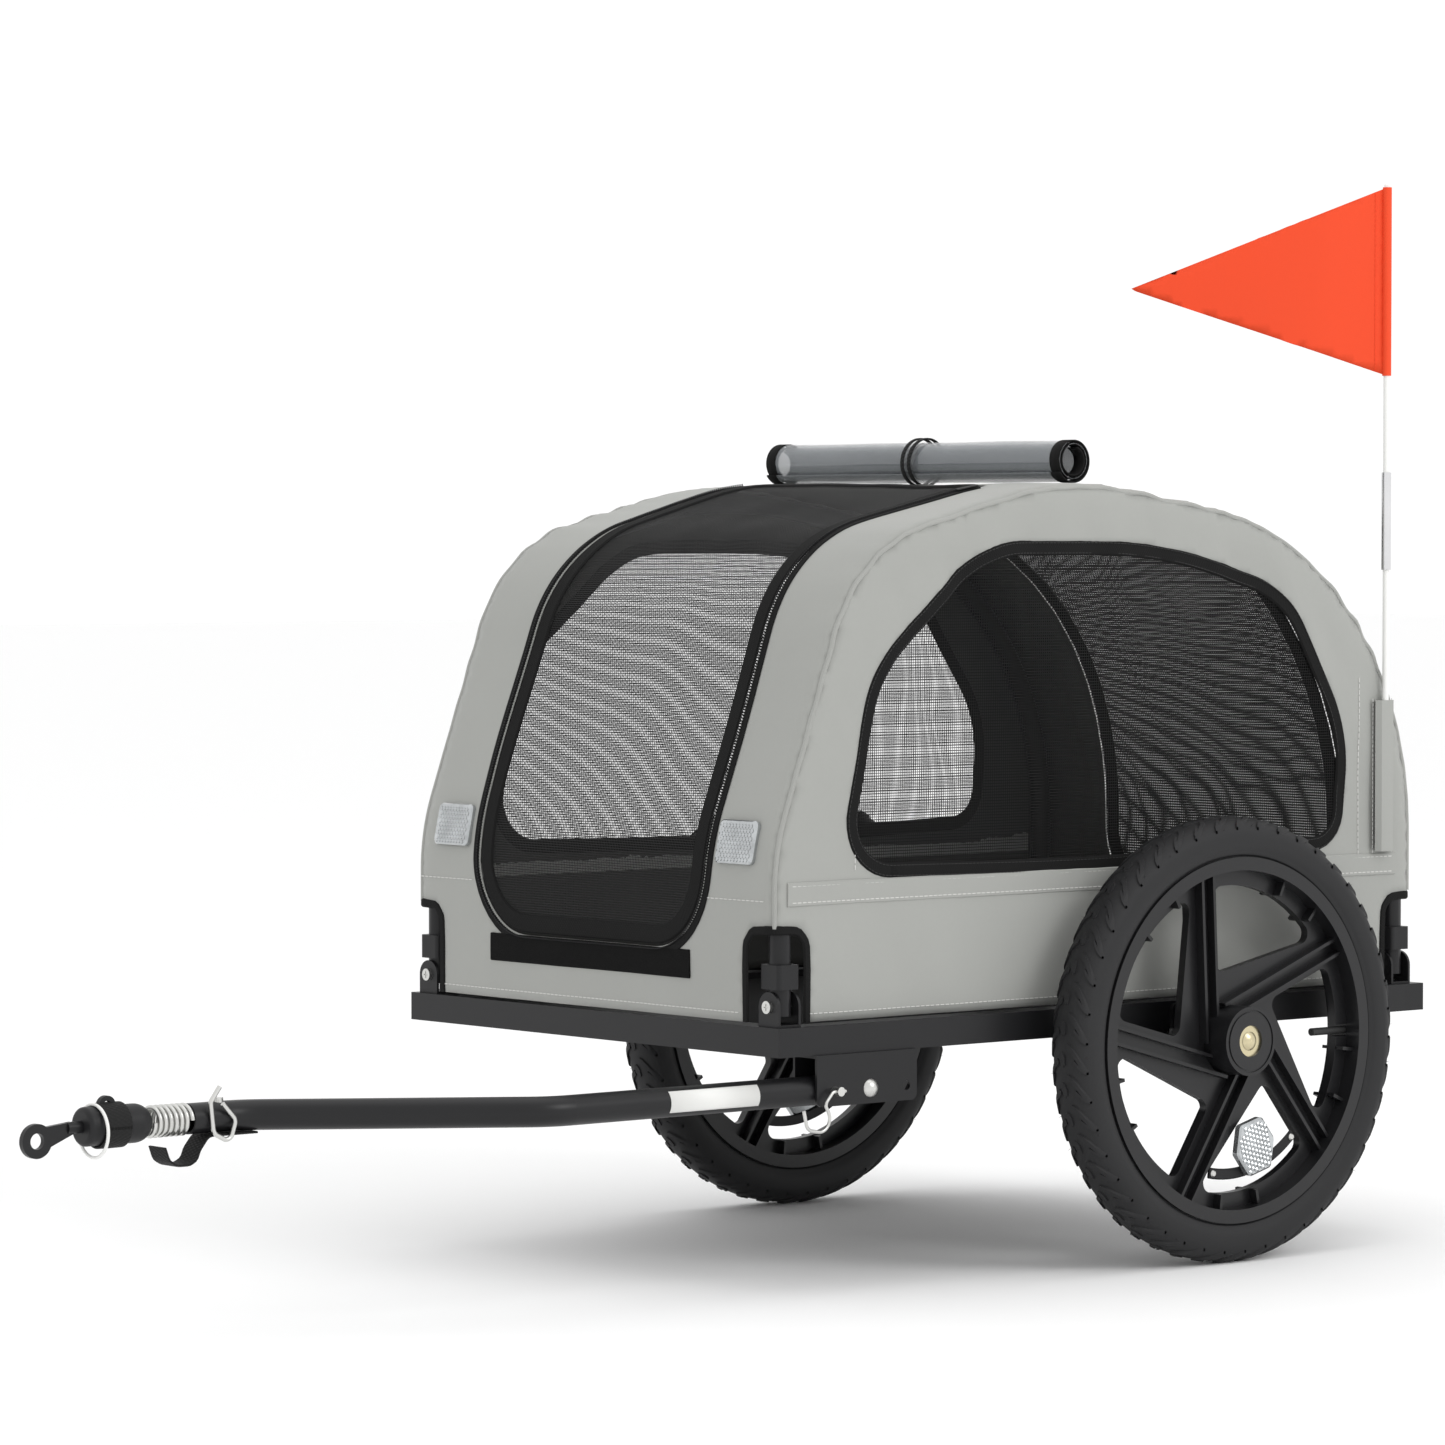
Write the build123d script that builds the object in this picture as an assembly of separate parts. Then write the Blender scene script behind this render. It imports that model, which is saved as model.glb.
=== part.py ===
from build123d import *
import os
from math import asin, atan, cos, degrees, radians, sin, sqrt

# Two-wheeled trailer for carrying a dog behind a bicycle. Millimetres.
# The model is laid out with the front facing -Y, the left side facing +X, the ground at Z 0 and the
# cabin's middle at X 0. It is moved as a whole at the end, so that the origin is under the box's centre.

# ---------------------------------------------------------------- driving dimensions
FRAME_WIDTH = 520.0
FRAME_LENGTH = 790.0
STRETCH = FRAME_LENGTH / 790.0
RAIL = 25.0
RAIL_WALL = 1.5
CAP_THICKNESS = 2.0
TRACK = FRAME_WIDTH + 80.0
AXLE_Y = 95.0 * STRETCH

TYRE_DIAMETER = 400.0
TYRE_WIDTH = 45.0
TYRE_HEIGHT = 38.0
TYRE_WALL = 3.5
RIM_EDGE_RADIUS = 164.0
RIM_BED_RADIUS = 156.0
RIM_WALL = 4.0
RIM_WIDTH = 40.0
RIM_FLANGE = 3.0
WEB_THICKNESS = 8.0
WINDOW_RADIUS = 138.0
SPOKES = 5
SPOKE_TILT = 20.6
SPOKE_OFFSET = 27.0
RIB_SPACING = 14.0
RIB_THICKNESS = 3.0
RIB_HEIGHT = 9.0
WEB_MARGIN = 8.0
WINDOW_TAPER = 19.0
WINDOW_LEAN = 9.0
WINDOW_CORNER = 9.0
HUB_RADIUS = 31.0
HUB_LENGTH = 66.0
BEARING_RADIUS = 14.0
BEARING_WIDTH = 8.0
BEARING_RECESS = 2.0
AXLE_RADIUS = 6.0
VALVE_RADIUS = 3.5
VALVE_LENGTH = 42.0

RECEIVER_RADIUS = AXLE_RADIUS + 2.0
PLATE_THICKNESS = 4.0
PLATE_LENGTH = 60.0
RUNNING_CLEARANCE = 0.05
SMALL_GAP = 0.3

COVER_THICKNESS = 2.0
COVER_SIDE_INSET = 8.0
COVER_FRONT_INSET = 1.0
COVER_REAR_INSET = 7.0
COVER_LIFT = 3.0
KNEE_HEIGHT = 149.0
BROW_SETBACK = 95.0 * STRETCH
BROW_HEIGHT = 410.0
CROWN_SETBACK = 343.0 * STRETCH
CROWN_HEIGHT = 472.0
SHOULDER_HEIGHT = 403.0
OUTLINE_RADII = (200.0 * STRETCH, 150.0 * STRETCH, 400.0 * STRETCH, 300.0 * STRETCH)

ARCH_RADIUS = 9.5
ARCH_WALL = 1.2
ARCH_INSET = 16.0
ARCH_SIDE_GAP = 0.5
HINGE_LIFT = 17.0
HINGE_RADIUS = 3.0
POLE_FOOT = 8.0
EAR_THICKNESS = 2.5
EAR_RADIUS = 13.0
EAR_GAP = 0.5
BASE_THICKNESS = 2.0
BLOCK_WIDTH = 26.0
BLOCK_DEPTH = 24.0
BLOCK_HEIGHT = 21.0
BLOCK_LIFT = 15.0

DOOR_HALF_WIDTH = 160.0
DOOR_SILL_HEIGHT = 61.0
DOOR_CORNER = 70.0
DOOR_GAP = 0.5
FRONT_HINGE_Y = -60.0 * STRETCH
REAR_HINGE_Y = 150.0 * STRETCH

TUBE_RADIUS = 12.7
TUBE_WALL = 1.6
DRAWBAR_DROP = TUBE_RADIUS + 18.3
CHANNEL_WALL = 2.5
CHANNEL_GAP = 0.5
CHANNEL_LENGTH = 114.0
CHANNEL_DEPTH = 44.0
PIVOT_Y = 100.0 - FRAME_LENGTH / 2
LOCK_OFFSET = 41.0
TAIL_LENGTH = 14.0
BOLT_RADIUS = 4.0
BEND_RADIUS = 60.0
FIRST_BEND_Y = PIVOT_Y - 338.0
SECOND_BEND = (FRAME_WIDTH / 2 - 157.0, PIVOT_Y - 547.0)
TUBE_END_Y = PIVOT_Y - 600.0

SPRING_LENGTH = 37.0
SPRING_WIRE = 2.0
SPRING_RADIUS = TUBE_RADIUS - 1.2
SPRING_TURNS = 7
COUPLER_RADIUS = TUBE_RADIUS + 3.3
COUPLER_LENGTH = 66.0
ROD_RADIUS = 5.0
EYE_REACH = 43.0
EYE_DROP = 8.5
EYE_RADIUS = 14.0
EYE_HOLE = 6.5
EYE_THICKNESS = 5.0
STRAP_WIDTH = 25.0
STRAP_THICKNESS = 2.0

POLE_RADIUS = 3.0
FERRULE_RADIUS = 4.6
FERRULE_LENGTH = 90.0
POCKET_HEIGHT = 146.0
POCKET_WIDTH = 22.0
POCKET_DEPTH = 10.0
POLE_Y = FRAME_LENGTH / 2 - 49.0
POCKET_BOTTOM = 358.0
POLE_FOOT_GAP = 4.0
JOINER_BOTTOM = 619.0
POLE_TOP = 975.0
FLAG_HEIGHT = 175.0
FLAG_LENGTH = 240.0
FLAG_HEADING = 50.0
FLAG_THICKNESS = 1.0

ROLL_RADIUS = 20.0
ROLL_CORE = 11.0
ROLL_LENGTH = 405.0
ROLL_STRAP = 2.0
REFLECTOR = (52.0, 4.0, 40.0)
REFLECTOR_X = 200.0
REFLECTOR_HEIGHT = 155.0
HOOK_STRIP = (282.0, 1.2, 25.0)
SLAT = (30.0, 3.0)
FLOOR_THICKNESS = 10.0
FLOOR_GAP = 2.0

# ---------------------------------------------------------------- places worked out from them
AXLE_Z = TYRE_DIAMETER / 2
RAIL_BOTTOM = AXLE_Z + RECEIVER_RADIUS
FLOOR_Z = RAIL_BOTTOM + RAIL / 2 - SLAT[1]
RAIL_TOP = RAIL_BOTTOM + RAIL
RAIL_X = FRAME_WIDTH / 2 - RAIL / 2
FRONT_RAIL_Y = -FRAME_LENGTH / 2 + RAIL / 2
COVER_X = FRAME_WIDTH / 2 - COVER_SIDE_INSET
COVER_FRONT = -FRAME_LENGTH / 2 + COVER_FRONT_INSET
COVER_REAR = FRAME_LENGTH / 2 - COVER_REAR_INSET
COVER_BOTTOM = RAIL_TOP + COVER_LIFT
ARCH_X = COVER_X - COVER_THICKNESS - ARCH_SIDE_GAP - ARCH_RADIUS
LEG_FRONT = COVER_FRONT + ARCH_INSET
LEG_REAR = COVER_REAR - ARCH_INSET
HINGE_Z = RAIL_TOP + HINGE_LIFT
HUB_FACE = TRACK / 2 + HUB_LENGTH / 2
HUB_BACK = TRACK / 2 - HUB_LENGTH / 2
PLATE_FACE = FRAME_WIDTH / 2 + PLATE_THICKNESS
DRAWBAR_Z = RAIL_BOTTOM - DRAWBAR_DROP
LOCK_Y = PIVOT_Y - LOCK_OFFSET
STORE_Y = PIVOT_Y + LOCK_OFFSET
CHANNEL_HALF = TUBE_RADIUS + CHANNEL_GAP + CHANNEL_WALL
HITCH_X = SECOND_BEND[0]
COUPLER_BACK = TUBE_END_Y - SPRING_LENGTH
COUPLER_PIVOT = COUPLER_BACK - COUPLER_RADIUS
COUPLER_FRONT = COUPLER_BACK - COUPLER_LENGTH
EYE_Y = COUPLER_FRONT - EYE_REACH
POLE_X = COVER_X + POCKET_DEPTH / 2
SIDES = (("left", 1), ("right", -1))

nodes = {}


# ---------------------------------------------------------------- small helpers
def block(low, high):
    """A box between two corners."""
    size = [abs(b - a) for a, b in zip(low, high)]
    middle = [(a + b) / 2 for a, b in zip(low, high)]
    return Pos(*middle) * Box(*size)


def rod_x(start, end, y, z, radius):
    """A round bar along X."""
    return Pos((start + end) / 2, y, z) * Rot(0, 90, 0) * Cylinder(radius, abs(end - start))


def rod_y(start, end, x, z, radius):
    """A round bar along Y."""
    return Pos(x, (start + end) / 2, z) * Rot(90, 0, 0) * Cylinder(radius, abs(end - start))


def rod_z(start, end, x, y, radius):
    """A round bar along Z."""
    return Pos(x, y, (start + end) / 2) * Cylinder(radius, abs(end - start))


def dome_x(x, y, z, radius, height, way):
    """A domed bolt head that stands out along X, its flat back at x."""
    ball = (radius**2 + height**2) / (2 * height)
    low = degrees(asin(1 - height / ball))
    cap = Sphere(ball, arc_size1=low, align=(Align.CENTER, Align.CENTER, Align.MIN))
    return Pos(x, y, z) * Rot(0, 90 * way, 0) * cap


def sweep_tube(points, bends, radius):
    """A round bar along straight runs joined by arcs."""
    path = FilletPolyline(*points, radius=bends) if bends else Line(*points)
    start = Plane(origin=path @ 0, z_dir=path % 0)
    return sweep(start * Circle(radius), path=path)


def hexagon_x(start, end, y, z, width):
    """A hexagon nut or head along X."""
    flat = extrude(RegularPolygon(width / 2, 6, major_radius=False), abs(end - start))
    return Pos(min(start, end), y, z) * Rot(0, 90, 0) * flat


# ---------------------------------------------------------------- cover outline, seen from the side
def cover_corners():
    """Corners of the cabin's side outline, from the front hem over the roof to the rear hem."""
    return [
        (COVER_FRONT, COVER_BOTTOM),
        (COVER_FRONT, RAIL_TOP + KNEE_HEIGHT),
        (COVER_FRONT + BROW_SETBACK, RAIL_TOP + BROW_HEIGHT),
        (COVER_FRONT + CROWN_SETBACK, RAIL_TOP + CROWN_HEIGHT),
        (COVER_REAR, RAIL_TOP + SHOULDER_HEIGHT),
        (COVER_REAR, COVER_BOTTOM),
    ]


def outline_path(inset, foot_z):
    """The outline moved inwards by inset, as runs and arcs in the plane X 0."""
    corners = [Vector(0, y, z) for y, z in cover_corners()]
    runs = [(b - a).normalized() for a, b in zip(corners, corners[1:])]
    inward = [Vector(0, run.Z, -run.Y) for run in runs]
    moved = [corners[0] + inward[0] * inset]
    for corner, before, after in zip(corners[1:-1], inward, inward[1:]):
        moved.append(corner + (before + after) * (inset / (1 + before.dot(after))))
    moved.append(corners[-1] + inward[-1] * inset)
    moved[0] = Vector(0, moved[0].Y, foot_z)
    moved[-1] = Vector(0, moved[-1].Y, foot_z)
    return FilletPolyline(*moved, radius=[r - inset for r in OUTLINE_RADII])


def outline_solid(inset, foot_z, half_width):
    """The closed outline drawn out to both sides of X 0."""
    path = outline_path(inset, foot_z)
    face = Face(Wire(path.edges() + Line(path @ 1, path @ 0).edges()))
    return extrude(face, amount=half_width, dir=(1, 0, 0), both=True)


cover_block = outline_solid(0, COVER_BOTTOM, COVER_X - COVER_THICKNESS)


def roof_height(y):
    """The cover's top at a place along Y."""
    probe = cover_block & block((-1, y - 0.1, RAIL_TOP), (1, y + 0.1, RAIL_TOP + 2 * CROWN_HEIGHT))
    return probe.bounding_box().max.Z


def front_face(z):
    """Where the cover's front is along Y at a height, and how many degrees it leans back there."""
    low, high = (
        (cover_block & block((-1, 2 * COVER_FRONT, level - 0.1), (1, 0, level + 0.1))).bounding_box().min.Y
        for level in (z - 5, z + 5)
    )
    return (low + high) / 2, degrees(atan((high - low) / 10))


# ---------------------------------------------------------------- floor frame
def make_frame():
    """Welded floor frame, its end caps, slats, floor and axle brackets."""
    half_w, half_l = FRAME_WIDTH / 2, FRAME_LENGTH / 2
    bore = RAIL - 2 * RAIL_WALL
    for name, way in (("front", -1), ("rear", 1)):
        y = way * -FRONT_RAIL_Y
        length = FRAME_WIDTH - 2 * CAP_THICKNESS
        rail = Pos(0, y, RAIL_BOTTOM + RAIL / 2) * (Box(length, RAIL, RAIL) - Box(length, bore, bore))
        nodes[f"{name}_rail"] = [rail]
    for name, way in SIDES:
        length = FRAME_LENGTH - 2 * RAIL
        rail = Box(RAIL, length, RAIL) - Box(bore, length, bore)
        nodes[f"{name}_rail"] = [Pos(way * RAIL_X, 0, RAIL_BOTTOM + RAIL / 2) * rail]
    caps = []
    plug = bore - 2 * SMALL_GAP
    for _, side in SIDES:
        for way in (-1, 1):
            face = Pos(half_w - CAP_THICKNESS / 2, 0, 0) * Box(CAP_THICKNESS, RAIL, RAIL)
            stem = Pos(half_w - CAP_THICKNESS - RAIL / 4, 0, 0) * Box(RAIL / 2, plug, plug)
            cap = Pos(0, way * -FRONT_RAIL_Y, RAIL_BOTTOM + RAIL / 2) * (face + stem)
            caps.append(cap if side > 0 else mirror(cap, Plane.YZ))
    nodes["rail_end_caps"] = caps
    inner = half_w - RAIL
    slat_top = FLOOR_Z
    nodes["floor_slats"] = [
        block((-inner, y - SLAT[0] / 2, slat_top - SLAT[1]), (inner, y + SLAT[0] / 2, slat_top))
        for y in (-FRAME_LENGTH / 4, 0, FRAME_LENGTH / 4)
    ]
    deep = half_l - RAIL - FLOOR_GAP
    wide = inner - FLOOR_GAP
    floor = block((-wide, -deep, slat_top), (wide, deep, slat_top + FLOOR_THICKNESS))
    nodes["floor_panel"] = [floor]


def make_axles():
    """Axle plates on both sides of each side rail, with the receiver tube, axle, nut and spacer."""
    plates, receivers, axles, nuts, spacers = [], [], [], [], []
    bore = AXLE_RADIUS + RUNNING_CLEARANCE
    race = HUB_BACK + BEARING_RECESS - SMALL_GAP
    low = DRAWBAR_Z + TUBE_RADIUS + 1
    inside = FRAME_WIDTH / 2 - RAIL
    tops = {FRAME_WIDTH / 2: RAIL_TOP - CAP_THICKNESS, inside - PLATE_THICKNESS: FLOOR_Z - SMALL_GAP}
    for _, side in SIDES:
        for start, high in tops.items():
            plate = block(
                (start, AXLE_Y - PLATE_LENGTH / 2, low),
                (start + PLATE_THICKNESS, AXLE_Y + PLATE_LENGTH / 2, high),
            )
            plate = fillet(plate.edges().filter_by(Axis.X), AXLE_RADIUS)
            plates.append(plate - rod_x(start - 1, start + PLATE_THICKNESS + 1, AXLE_Y, AXLE_Z, bore))
        tube = rod_x(inside, FRAME_WIDTH / 2, AXLE_Y, AXLE_Z, RECEIVER_RADIUS)
        receivers.append(tube - rod_x(inside - 1, FRAME_WIDTH / 2 + 1, AXLE_Y, AXLE_Z, bore))
        tip = inside - PLATE_THICKNESS - 2 * AXLE_RADIUS
        head = HUB_FACE - BEARING_RECESS + SMALL_GAP
        axle = rod_x(tip, head, AXLE_Y, AXLE_Z, AXLE_RADIUS)
        axles.append(axle + dome_x(head, AXLE_Y, AXLE_Z, AXLE_RADIUS * 1.4, 3.5, 1))
        back = inside - PLATE_THICKNESS
        nut = hexagon_x(back - 1.6 * AXLE_RADIUS, back, AXLE_Y, AXLE_Z, 3.1 * AXLE_RADIUS)
        nuts.append(nut - rod_x(tip, back + 1, AXLE_Y, AXLE_Z, bore))
        ring = rod_x(PLATE_FACE, race, AXLE_Y, AXLE_Z, AXLE_RADIUS * 1.5)
        spacers.append(ring - rod_x(PLATE_FACE - 1, race + 1, AXLE_Y, AXLE_Z, bore))
        if side < 0:
            for group in (plates, receivers, axles, nuts, spacers):
                count = 2 if group is plates else 1
                group[-count:] = [mirror(piece, Plane.YZ) for piece in group[-count:]]
    nodes.update(
        axle_plates=plates, axle_receivers=receivers, axles=axles, axle_nuts=nuts, axle_spacers=spacers
    )


# ---------------------------------------------------------------- wheels, modelled on the left side
def spoke_line(angle, offset, start, end, width):
    """A flat bar along a spoke, offset to its left; its middle line runs from start to end."""
    bar = Pos((start + end) / 2, offset) * Rectangle(end - start, width)
    return Rot(0, 0, angle) * bar


def wheel_window(angle):
    """A rounded three-cornered window between a spoke and the next one clockwise."""
    reach = 2 * WINDOW_RADIUS
    near = SPOKE_OFFSET - RIB_SPACING / 2 - WEB_MARGIN
    far = SPOKE_OFFSET + RIB_SPACING / 2 + WEB_MARGIN + WINDOW_TAPER
    outside = Rot(0, 0, angle) * Pos(0, reach + near) * Rectangle(4 * reach, 2 * reach)
    tilt = angle - 360 / SPOKES - WINDOW_LEAN
    outside += Rot(0, 0, tilt) * Pos(0, far - reach) * Rectangle(4 * reach, 2 * reach)
    shape = Circle(WINDOW_RADIUS) - outside
    return fillet(shape.vertices(), WINDOW_CORNER)


def make_rim():
    """Moulded plastic wheel with a webbed disc, paired ribs along each spoke and a hub."""
    edge, bed, half = RIM_EDGE_RADIUS, RIM_BED_RADIUS, RIM_WIDTH / 2
    inner = bed - RIM_WALL
    well = RIM_WIDTH - 2 * RIM_FLANGE
    barrel = Cylinder(edge, RIM_WIDTH) - (Cylinder(edge + 1, well) - Cylinder(bed, well))
    barrel -= Cylinder(inner, RIM_WIDTH)
    disc = Circle(inner + 1)
    for index in range(SPOKES):
        disc -= wheel_window(SPOKE_TILT + index * 360 / SPOKES)
    web = extrude(disc, WEB_THICKNESS / 2, both=True)
    ribs = Sketch()
    blades = Sketch()
    for index in range(SPOKES):
        angle = SPOKE_TILT + index * 360 / SPOKES
        for way in (-1, 1):
            offset = SPOKE_OFFSET + way * RIB_SPACING / 2
            ribs += spoke_line(angle, offset, 0, (inner**2 - offset**2) ** 0.5, RIB_THICKNESS)
            blades += spoke_line(angle - 36 + way * 9, 0, WINDOW_RADIUS + 1, inner + 0.5, RIB_THICKNESS)
    raised = extrude(ribs + blades, WEB_THICKNESS / 2 + RIB_HEIGHT, both=True)
    hub = Cylinder(HUB_RADIUS, HUB_LENGTH)
    wheel = barrel + web + (raised - Cylinder(HUB_RADIUS - 1, 2 * HUB_LENGTH)) + hub
    groove = Cylinder(HUB_RADIUS - 3, 1) - Cylinder(HUB_RADIUS - 5, 1)
    seat = Cylinder(BEARING_RADIUS, BEARING_WIDTH + BEARING_RECESS)
    wheel -= Cylinder(AXLE_RADIUS + 2, 2 * HUB_LENGTH)
    for way in (-1, 1):
        wheel -= Pos(0, 0, way * (HUB_LENGTH / 2 - (BEARING_WIDTH + BEARING_RECESS) / 2)) * seat
        wheel -= Pos(0, 0, way * (HUB_LENGTH - 1) / 2) * groove
    drill = Rot(0, 90, 0) * Cylinder(VALVE_RADIUS + SMALL_GAP, 2 * VALVE_LENGTH)
    wheel -= Pos(bed, 0, 0) * drill
    notch = Box(inner - WINDOW_RADIUS + 4, 3 * VALVE_RADIUS, 2 * WEB_THICKNESS)
    return wheel - Pos((inner + WINDOW_RADIUS) / 2 - 2.5, 0, 0) * notch


def make_tyre():
    """Hollow tyre with its beads inside the rim's flanges."""
    middle = AXLE_Z - TYRE_HEIGHT / 2
    width, height, wall = TYRE_WIDTH / 2, TYRE_HEIGHT / 2, TYRE_WALL
    bead_out = RIM_WIDTH / 2 - RIM_FLANGE - SMALL_GAP
    bead_in = bead_out - 1.6 * wall
    foot = RIM_BED_RADIUS + SMALL_GAP / 2
    section = Pos(middle, 0) * Ellipse(height, width)
    for way in (-1, 1):
        section += Pos((foot + middle) / 2, way * (bead_out + bead_in) / 2) * Rectangle(
            middle - foot, bead_out - bead_in
        )
    section -= Pos(middle, 0) * Ellipse(height - wall, width - wall)
    section -= Pos(foot, 0) * Rectangle(2 * (middle - foot - 3), 2 * bead_in)
    return revolve(Plane.XZ * section, Axis.Z)


def make_tube():
    """Inner tube with its valve stem, which points to the hub."""
    middle = AXLE_Z - TYRE_HEIGHT / 2
    radius = TYRE_HEIGHT / 2 - TYRE_WALL - 2 * SMALL_GAP
    ring = Torus(middle, radius)
    stem_end = RIM_BED_RADIUS - RIM_WALL - VALVE_LENGTH
    stem = Pos((middle - radius + 2 + stem_end) / 2, 0, 0) * Rot(0, 90, 0)
    return ring + stem * Cylinder(VALVE_RADIUS, middle - radius + 2 - stem_end)


def make_wheel_reflector():
    """Clear reflector on a curved strip that is screwed across a window of the wheel."""
    radius, mid_angle, reach = 121.0, -75.0, 28.0
    face = WEB_THICKNESS / 2
    band = Circle(radius + 5) - Circle(radius - 5)
    spread = 2.02 * radius * sin(radians(reach))
    wedge = Rot(0, 0, mid_angle) * Pos(radius, 0) * Rectangle(4 * EYE_RADIUS, spread)
    strip = extrude(band & wedge, 2)
    strip = Pos(0, 0, face) * strip
    outline = Rot(0, 0, mid_angle) * Pos(radius - 20, 0) * RectangleRounded(46, 50, 10)
    lens = Pos(0, 0, face + 2) * extrude(outline, 9)
    post = Pos(0, 0, face - 5) * extrude(Rot(0, 0, mid_angle) * Pos(radius - 12, 0) * Rectangle(20, 20), 5)
    screws = []
    for way in (-1, 1):
        angle = radians(mid_angle + way * (reach - 3))
        screws.append(Pos(radius * cos(angle), radius * sin(angle), face + 2 + 1) * Cylinder(3, 2))
    return [strip + post, lens] + screws


def make_wheels():
    """Both wheels, turned so that they spin about X."""
    bearing = Cylinder(BEARING_RADIUS, BEARING_WIDTH) - Cylinder(AXLE_RADIUS + RUNNING_CLEARANCE, BEARING_WIDTH)
    seat = HUB_LENGTH / 2 - BEARING_RECESS - BEARING_WIDTH / 2
    parts = {
        "rim": [make_rim()],
        "tyre": [make_tyre()],
        "inner_tube": [make_tube()],
        "bearings": [Pos(0, 0, way * seat) * bearing for way in (-1, 1)],
        "wheel_reflector": make_wheel_reflector(),
    }
    # local +X goes to +Y, local +Y to +Z and local +Z out of the left side
    upright = Location(Plane(origin=(TRACK / 2, AXLE_Y, AXLE_Z), x_dir=(0, 1, 0), z_dir=(1, 0, 0)))
    for name, pieces in parts.items():
        placed = [upright * piece for piece in pieces]
        nodes[f"{name}_left"] = placed
        nodes[f"{name}_right"] = [mirror(piece, Plane.YZ) for piece in placed]


# ---------------------------------------------------------------- drawbar and hitch
def make_drawbar():
    """Channel bracket under the left rail, the bent tube that folds in it, its bolt and lock pin."""
    x, z = RAIL_X, DRAWBAR_Z
    start = STORE_Y + 12
    outer = block(
        (x - CHANNEL_HALF, start - CHANNEL_LENGTH, RAIL_BOTTOM - CHANNEL_DEPTH),
        (x + CHANNEL_HALF, start, RAIL_BOTTOM),
    )
    outer = fillet(outer.edges().filter_by(Axis.X).sort_by(Axis.Z)[:2], 6)
    half = CHANNEL_HALF - CHANNEL_WALL
    inner = block(
        (x - half, start - CHANNEL_LENGTH - 1, RAIL_BOTTOM - CHANNEL_DEPTH - 1),
        (x + half, start + 1, RAIL_BOTTOM - CHANNEL_WALL),
    )
    channel = outer - inner
    fit = BOLT_RADIUS + 2 * RUNNING_CLEARANCE
    for y in (PIVOT_Y, LOCK_Y, STORE_Y):
        channel -= rod_x(x - 2 * CHANNEL_HALF, x + 2 * CHANNEL_HALF, y, z, fit)
    nodes["drawbar_bracket"] = [channel]

    side = x + CHANNEL_HALF
    bolt = rod_x(x - CHANNEL_HALF - 9, side, PIVOT_Y, z, BOLT_RADIUS) + dome_x(side, PIVOT_Y, z, 8, 5, 1)
    nut = hexagon_x(x - CHANNEL_HALF - 7, x - CHANNEL_HALF, PIVOT_Y, z, 13)
    nut -= rod_x(x - 2 * CHANNEL_HALF, x, PIVOT_Y, z, BOLT_RADIUS + RUNNING_CLEARANCE)
    nodes["pivot_bolt"] = [bolt, nut]

    corners = [
        (x, PIVOT_Y + TAIL_LENGTH, z),
        (x, FIRST_BEND_Y, z),
        (SECOND_BEND[0], SECOND_BEND[1], z),
        (SECOND_BEND[0], TUBE_END_Y, z),
    ]
    tube = sweep_tube(corners, [BEND_RADIUS, BEND_RADIUS], TUBE_RADIUS)
    tube -= sweep_tube(corners, [BEND_RADIUS, BEND_RADIUS], TUBE_RADIUS - TUBE_WALL)
    tube -= rod_x(x - 2 * TUBE_RADIUS, x + 2 * TUBE_RADIUS, PIVOT_Y, z, BOLT_RADIUS + RUNNING_CLEARANCE)
    # the lock hole is open upwards along the pin's arc, so that the tube can swing down past the pin
    slot = BOLT_RADIUS + 3 * RUNNING_CLEARANCE
    arc = Circle(LOCK_OFFSET + slot) - Circle(LOCK_OFFSET - slot)
    arc &= Pos(-LOCK_OFFSET, TUBE_RADIUS) * Rectangle(LOCK_OFFSET, 2 * TUBE_RADIUS)
    arc += Pos(-LOCK_OFFSET, 0) * Circle(slot)
    turned = Location(Plane(origin=(x, PIVOT_Y, z), x_dir=(0, 1, 0), z_dir=(1, 0, 0)))
    tube -= turned * extrude(arc, 2 * TUBE_RADIUS, both=True)
    nodes["drawbar_tube"] = [tube]

    head = side + 3
    pin = rod_x(x - CHANNEL_HALF - 6, head + 6, LOCK_Y, z, BOLT_RADIUS)
    wire_x = head + 3
    pin -= rod_y(LOCK_Y - 9, LOCK_Y + 9, wire_x, z, 1.6)
    nodes["lock_pin"] = [pin]
    low = z - 37
    route = [
        (wire_x, LOCK_Y + 7, z),
        (wire_x, LOCK_Y - 7, z),
        (wire_x, LOCK_Y - 16, z - 10),
        (wire_x, LOCK_Y - 2, low),
        (wire_x, LOCK_Y - 36, low + 6),
        (wire_x, LOCK_Y - 40, z - 14),
    ]
    nodes["pin_bail"] = [sweep_tube(route, [4, 5, 11, 8], 1.5)]


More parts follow.
